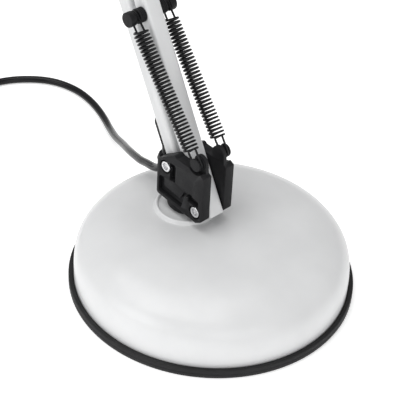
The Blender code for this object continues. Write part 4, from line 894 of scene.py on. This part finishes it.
# ---- arms: square tubes, their pegs and their springs
barSetup = {"half": 6.0, "wall": 1.0, "corner": 1.9, "overhang": 7.0, "slotReach": 19.0, "slotLength": 21.0,
            "slotRadius": 3.4, "pegReach": 132.2, "pivotHole": 2.8}


def squareBar(name, start, way, body, node, pegHole=False, slotSide=0):
    b = barSetup
    face = Vector((way.z, 0, -way.x))
    length = (elbowRear - rearPivot).length
    inner = b["half"] - b["wall"]
    loops = [roundedLoop([(-h, -h, r), (h, -h, r), (h, h, r), (-h, h, r)], 5)
             for h, r in ((b["half"], b["corner"]), (inner, 1.0))]
    mesh = sleeve(name, loops[0], loops[1], -b["overhang"], length + b["overhang"])
    # the outline's x runs across the faces that the pivots leave alone, its z across the pivots' own
    mesh.transform(Matrix(((face.x, way.x, 0, start.x * mm), (0, 0, 1, 0),
                           (face.z, way.z, 0, start.z * mm), (0, 0, 0, 1))))
    mesh.flip_normals()        # that turn mirrors the mesh
    reaches = [0.0, length] + ([b["pegReach"]] if pegHole else [])
    cuts = []
    for reach in reaches:
        drill = turned("drill", [(0.0, 9), (b["pivotHole"], 9), (b["pivotHole"], -9), (0.0, -9)], 32)
        cuts.append(placed(drill, acrossAt(start + way * reach, 1)))
    if slotSide:
        spread = b["slotLength"] / 2 - b["slotRadius"]
        for reach in (b["slotReach"], length - b["slotReach"]):
            outline = strapRound([(-spread, 0.0, b["slotRadius"]), (spread, 0.0, b["slotRadius"])], 28)
            tool = slab("slot", outline, -2.5, 2.5)
            at = start + way * reach + face * slotSide * b["half"]
            tool.transform(Matrix(((way.x, face.x, 0, at.x * mm), (0, 0, 1, 0), (way.z, face.z, 0, at.z * mm),
                                   (0, 0, 0, 1))))
            cuts.append(tool)
    mesh = carved(name, mesh, cuts, [], 0.18)
    return addPiece(name, mesh, "whiteEnamel", body, (node,))


def barPeg(name, at, side, body, node):
    low, high = 6.3, 18.8
    mid, half = 12.5, 1.4
    ridges = []
    for k in range(4):        # fine turned ridges between the groove and the bar
        edge = mid - half - 0.5 - 1.1 * k
        ridges += [(4.9, edge), (4.9, edge - 0.5), (4.55, edge - 0.65), (4.55, edge - 0.95)]
    profile = softened([(0.0, high), (4.9, high), (4.9, mid + half + 0.3), (3.2, mid + half - 0.3),
                        (3.2, mid - half + 0.3), (4.9, mid - half)], 0.55, 4) + ridges
    profile += [(4.9, low + 0.2), (4.8, low), (2.3, low), (2.3, 0.3), (0.0, 0.3)]
    mesh = placed(turned(name, profile, 56), acrossAt(at, side))
    return addPiece(name, mesh, "mouldedBlack", body, (node,))


springSetup = {"wire": 0.72, "coil": 4.6, "turns": 34, "hookReach": 9.0, "hook": 3.9, "lowSide": 11.4,
               "highSide": 12.8, "perTurn": 18}


def windSpring(name, lowPeg, highPeg, side, node):
    s = springSetup
    low = Vector((lowPeg.x, side * s["lowSide"], lowPeg.z))
    high = Vector((highPeg.x, side * s["highSide"], highPeg.z))
    way = (high - low).normalized()
    across = Vector((way.z, 0, -way.x)).normalized()
    depth = way.cross(across)
    flatWay = Vector((way.x, 0, way.z)).normalized()
    line = []
    for k in range(6):        # the loose end beside the coil, then round the lower peg
        line.append(low + way * (s["hookReach"] + 1.6) * (1 - k / 6) + across * (4.5 - 0.6 * k / 6))
    for k in range(15):
        angle = math.radians(90 - 180 * k / 14)
        line.append(low + (-flatWay * math.cos(angle) + across * math.sin(angle)) * s["hook"])
    line += [low + way * s["hookReach"] * share - across * (s["hook"] + 0.2 * share)
             for share in (0.3, 0.6, 0.85)]
    body = (high - low).length - 2 * s["hookReach"]
    count = s["turns"] * s["perTurn"]
    for k in range(count + 1):
        turn = 2 * math.pi * k / s["perTurn"]
        ends = min(k, count - k) / s["perTurn"]
        reach = s["coil"] - (s["coil"] - s["hook"]) * max(0.0, 1 - ends / 0.5)
        line.append(low + way * (s["hookReach"] + body * k / count)
                    + (-across * math.cos(turn) + depth * math.sin(turn)) * reach)
    line += [high - way * s["hookReach"] * share - across * (s["hook"] + 0.2 * share)
             for share in (0.85, 0.6, 0.3)]
    for k in range(15):        # round the upper peg and back beside the coil
        angle = math.radians(-90 + 180 * k / 14)
        line.append(high + (flatWay * math.cos(angle) + across * math.sin(angle)) * s["hook"])
    for k in range(1, 7):
        line.append(high - way * (s["hookReach"] + 1.6) * k / 6 + across * (3.9 + 0.6 * k / 6))
    coil = addPiece(name, drawnWire(name, line, s["wire"], 8), "blackSpring", None, (node,))
    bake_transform(coil)
    return coil


pegStep = Vector((plateSetup["pegStep"][0], 0, plateSetup["pegStep"][1]))
arms = {
    "lower": {"plain": frontPivot, "wired": rearPivot, "way": lowerWay, "holder": "bracket"},
    "upper": {"plain": upperLow, "wired": upperHigh, "way": upperWay, "holder": "elbow"},
}
for name, arm in arms.items():
    squareBar(name + "SprungBar", arm["plain"], arm["way"], name + "_sprung", name + "_bar_sprung", True)
    squareBar(name + "WiredBar", arm["wired"], arm["way"], name + "_wired", name + "_bar_wired", False, -1)
    barPegAt = arm["plain"] + arm["way"] * barSetup["pegReach"]
    for side, hand in ((-1, "right"), (1, "left")):
        barPeg(name + "Peg" + hand.title(), barPegAt, side, name + "_sprung", "%s_peg_%s" % (name, hand))
        windSpring(name + "Spring" + hand.title(), arm["plain"] + pegStep, barPegAt, side,
                   "%s_spring_%s" % (name, hand))
print("arms and springs built")


# ---- the lead where it shows on the lamp
leadSetup = {"radius": 2.8, "along": (22.0, 15.0, 6.0, -2.0, -9.0), "out": (1.0, 1.2, 2.9, 6.3, 10.5)}


def slotExit(pivot, way, inwards, outwards):
    face = Vector((way.z, 0, -way.x))
    return [pivot + way * inwards * (barSetup["slotReach"] + along) + face * outwards * out
            for along, out in zip(leadSetup["along"], leadSetup["out"])]


def offset(point, x, z):
    return Vector((point.x + x, 0.0, point.z + z))


def leadPiece(name, points, node=None):
    mesh = drawnWire(name, points, leadSetup["radius"], 14)
    piece = addPiece(name, mesh, "cordSheath", None, (node,) if node else ())
    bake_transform(piece)
    return piece


def splitAt(line, place):
    nearest = min(range(len(line)), key=lambda i: (line[i] - place).length)
    return line[:nearest + 1], line[nearest:]


grommetSetup = {"spread": 8.0, "bore": 3.5, "half": 5.1, "sunk": 0.2, "proud": 2.6, "edge": 0.5}


def slotGrommet(name, pivot, way, inwards, body):
    # the rubber rim round the slot that a lead comes out of, on the bar's rear face
    face = Vector((way.z, 0, -way.x))
    g = grommetSetup
    inner = [Vector(point) for point in strapRound([(-g["spread"], 0.0, g["bore"]),
                                                    (g["spread"], 0.0, g["bore"])], 40)]
    outer = []
    for point in inner:        # the same number of points outside, each pushed straight out
        middle = Vector((min(max(point.x, -g["spread"]), g["spread"]), 0.0))
        outer.append(tuple(middle + (point - middle).normalized() * g["half"]))
    mesh = sleeve(name, outer, [tuple(point) for point in inner], -g["sunk"], g["proud"])
    at = pivot + way * inwards * barSetup["slotReach"] - face * barSetup["half"]
    mesh.transform(Matrix(((way.x, -face.x, 0, at.x * mm), (0, 0, 1, 0), (way.z, -face.z, 0, at.z * mm),
                           (0, 0, 0, 1))))
    return addPiece(name, carved(name, mesh, [], [], g["edge"]), "edgeRubber", body)


slotGrommet("footGrommet", rearPivot, lowerWay, 1, "lower_wired")
exitAt = Vector(cordSetup["exit"])
cordWay = (cordLine[2] - cordLine[0]).normalized()
footLine = smoothLine(slotExit(rearPivot, lowerWay, 1, -1)
                      + [exitAt - cordWay * 7.0, exitAt - cordWay * 0.5], 1.5)
leadPiece("footLead", footLine[:-2], "lead_foot")

elbowClip = offset(elbowRear, -17.0, 19.0)
elbowLine = smoothLine(slotExit(elbowRear, lowerWay, -1, -1)
                       + [elbowClip, offset(elbowRear, -11.0, 37.0), offset(elbowRear, 6.0, 50.0),
                          upperHigh + upperWay * (barSetup["slotReach"] - 22.0)
                          + Vector((-upperWay.z, 0, upperWay.x)) * 19.0]
                       + slotExit(upperHigh, upperWay, 1, -1)[::-1], 1.8)
elbowLow, elbowHigh = splitAt(elbowLine, elbowClip)
leadPiece("elbowLeadLow", elbowLow, "lead_elbow")
leadPiece("elbowLeadHigh", elbowHigh)

headClip = offset(headHigh, 16.0, 20.0)
headLine = smoothLine(slotExit(headHigh, upperWay, -1, -1)
                      + [headClip, offset(tiltPivot, 0.5, 38.0), offset(tiltPivot, 18.5, 22.0),
                         offset(tiltPivot, 22.5, 2.0), offset(tiltPivot, 14.5, -14.5),
                         offset(tiltPivot, 3.5, -24.5)], 1.8)
headLeadLow, headLeadHigh = splitAt(headLine, headClip)
leadPiece("headLeadLow", headLeadLow, "lead_head")
leadPiece("headLeadHigh", headLeadHigh)
print("leads threaded")


# ---- shade, cap and socket
shadeSetup = {"neck": 32.0, "neckHeight": 44.0, "radius": 79.0, "height": 140.0, "sheet": 1.0, "seat": 20.0,
              "vents": 8, "gap": 62.3}


def spinShade():
    s = shadeSetup
    top = tiltPivot.z - s["gap"]
    flare = []
    for k in range(1, 25):
        t = k / 24
        out, down = math.sin(0.5 * math.pi * t) ** 1.15, 1 - math.cos(0.5 * math.pi * t) ** 1.25
        flare.append((s["neck"] + (s["radius"] - s["neck"]) * out,
                      s["neckHeight"] + (s["height"] - s["neckHeight"]) * down))
    outside = [(s["seat"], 0.0), (s["neck"] - 4.5, 0.0), (s["neck"] - 2.6, 0.5), (s["neck"] - 1.0, 1.8),
               (s["neck"], 5.0), (s["neck"], 8.0), (s["neck"] + 0.1, 8.6), (s["neck"] + 0.1, 9.6),
               (s["neck"], 10.2),
               (s["neck"], s["neckHeight"] - 1.0), (s["neck"], s["neckHeight"])] + flare
    inside = [(radius - 0.9 * s["sheet"], depth + (s["sheet"] if depth < s["neckHeight"] - 1 else 0.35))
              for radius, depth in outside[1:-1]]
    rim = [(s["radius"] + 0.5, s["height"] + 0.1), (s["radius"] + 0.8, s["height"] + 0.7),
           (s["radius"] + 0.8, s["height"] + 1.5), (s["radius"] + 0.4, s["height"] + 2.1),
           (s["radius"] - 0.4, s["height"] + 2.2), (s["radius"] - 0.9, s["height"] + 1.8),
           (s["radius"] - s["sheet"], s["height"] + 0.8)]
    profile = outside + rim + [(s["radius"] - s["sheet"], s["height"])] + inside[::-1]
    profile.append((s["seat"], s["sheet"]))
    mesh = turned("bellShade", [(radius, top - depth) for radius, depth in profile], 128, closed=True)
    mesh.transform(Matrix.Translation((tiltPivot.x * mm, 0, 0)))
    cuts = []
    for k in range(s["vents"]):
        angle = 2 * math.pi * (k + 0.5) / s["vents"]
        outline = strapRound([(0.0, -9.0, 2.0), (0.0, 9.0, 2.0)], 20)
        vent = slab("vent", outline, s["neck"] - 3.0, s["neck"] + 3.0)
        vent.transform(Matrix.Translation((tiltPivot.x * mm, 0, (top - 0.55 * s["neckHeight"]) * mm))
                       @ Matrix.Rotation(angle - math.pi / 2, 4, "Z"))
        cuts.append(vent)
    mesh = carved("bellShade", mesh, cuts)
    return addPiece("bellShade", mesh, "shadeEnamel", "shade_assembly", ("shade",))


def turnCap():
    low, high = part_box("shade_cap")
    top, floor, radius = high.z / mm, low.z / mm, (high.x - low.x) / mm / 2
    bore = 7.3
    outside = softened([(bore, top), (radius - 5.5, top), (radius - 1.6, top - 1.6), (radius, top - 6.0),
                        (radius, floor + 9.2), (radius - 0.5, floor + 8.8), (radius - 0.5, floor + 8.2),
                        (radius, floor + 7.8), (radius, floor)], 0.8)
    inside = [(radius - 2.2, floor), (radius - 2.2, top - 6.5), (radius - 4.5, top - 3.0), (bore, top - 3.0)]
    mesh = turned("capShell", outside + inside, 96, closed=True)
    mesh.transform(Matrix.Translation((tiltPivot.x * mm, 0, 0)))
    hole = turned("hole", [(0.0, top + 3), (4.3, top + 3), (4.3, top - 5), (0.0, top - 5)], 32)
    hole.transform(Matrix.Translation((tiltPivot.x * mm, 14.0 * mm, 0)))
    mesh = carved("capShell", mesh, [hole])
    addPiece("capShell", mesh, "mouldedBlack", "shade_assembly", ("shade_cap",))
    low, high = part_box("switch_button")
    tall = high.z / mm
    buttonProfile = softened([(0.0, tall - 0.5), (2.2, tall - 0.3), (3.3, tall), (4.0, tall - 0.8),
                              (4.0, low.z / mm), (0.0, low.z / mm)], 0.4)
    button = turned("pushSwitch", buttonProfile, 40)
    button.transform(Matrix.Translation((tiltPivot.x * mm, 14.0 * mm, 0)))
    addPiece("pushSwitch", button, "switchBlack", "button", ("switch_button",))


def fitSocket():
    low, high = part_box("socket_body")
    top, bottom, radius = high.z / mm, low.z / mm, (high.x - low.x) / mm / 2
    inside = 14.9
    profile = softened([(0.0, top), (radius, top), (radius, bottom + 9.0), (radius - 0.5, bottom + 8.4),
                        (radius - 0.5, bottom + 7.2), (radius, bottom + 6.6), (radius, bottom),
                        (inside, bottom), (inside, top - 12.0), (0.0, top - 12.0)], 0.7)
    mesh = placed(turned("lampHolder", profile, 72), Matrix.Translation((tiltPivot.x * mm, 0, 0)))
    addPiece("lampHolder", mesh, "socketWhite", "shade_assembly", ("socket_body",))
    low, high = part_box("socket_thread")
    tall, pitch, steps = (high.z - low.z) / mm, 3.6, 60
    rows = [k * tall / 72 for k in range(73)]
    verts = []
    for reach, heights in ((14.0, rows), (14.5, rows[::-1])):
        for z in heights:
            for k in range(steps):
                angle = 2 * math.pi * k / steps
                r = reach + 0.35 * math.sin(angle + 2 * math.pi * z / pitch) * (1 if reach < 14.2 else 0.3)
                verts.append((r * math.cos(angle) + tiltPivot.x, r * math.sin(angle), low.z / mm + z))
    count = len(verts) // steps
    faces = [[i * steps + k, i * steps + (k + 1) % steps, (i + 1) % count * steps + (k + 1) % steps,
              (i + 1) % count * steps + k] for i in range(count) for k in range(steps)]
    mesh = asMesh("lampThread", verts, faces)
    addPiece("lampThread", mesh, "threadBrass", "shade_assembly", ("socket_thread",))
    low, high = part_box("socket_ring")
    seat, wide = high.z / mm, (high.x - low.x) / mm / 2
    ring = turned("holderRing", [(19.3, seat), (wide - 1.2, seat), (wide - 0.8, seat - 0.6),
                                 (wide, seat - 6.4), (wide - 0.5, seat - 7.0), (19.3, seat - 7.0)],
                  120, closed=True,
                  wave=lambda angle, height: 1 - 0.012 * (1 + math.cos(30 * angle)))
    ring.transform(Matrix.Translation((tiltPivot.x * mm, 0, 0)))
    addPiece("holderRing", ring, "mouldedBlack", "shade_assembly", ("socket_ring",))


def shapeKnob():
    start, end, bore = headOuter + 0.3, headOuter + 12.0, 2.8
    profile = [(bore, start), (7.6, start), (9.0, start + 1.2), (10.6, start + 2.4), (11.0, start + 3.4),
               (11.0, end - 2.4), (10.5, end - 1.2), (9.4, end - 0.3), (8.6, end), (5.0, end - 0.2),
               (3.0, end - 0.5), (0.0, end - 0.5), (0.0, end - 3.4), (bore, end - 3.4)]

    def flute(angle, height):
        return 1.0 - (0.045 * (1 + math.cos(12 * angle)) if height > start + 2 else 0.0)

    mesh = turned("tiltKnob", profile, 144, closed=True, wave=flute)
    addPiece("tiltKnob", placed(mesh, acrossAt(tiltPivot, -1)), "mouldedBlack", "knob", ("tilt_knob",))


spinShade()
turnCap()
fitSocket()
shapeKnob()
print("shade assembled")


# ---- pieces carried over from the frame keep their shape and take a proper finish
carried = {
    "base_weight": "castIron", "base_plate": "zincSteel", "base_pad": "baseFelt", "swivel_post": "zincSteel",
    "post_nut": "zincSteel", "post_bush": "mouldedBlack", "foot_clip": "mouldedBlack",
    "elbow_clip": "mouldedBlack", "head_clip": "mouldedBlack",
    "head_knuckle": "mouldedBlack", "lead_in_lower_bar": "cordSheath",
    "lead_in_upper_bar": "cordSheath",
}
for node, coat in carried.items():
    frame["nodes"][node].data.materials.clear()
    frame["nodes"][node].data.materials.append(coats[coat])
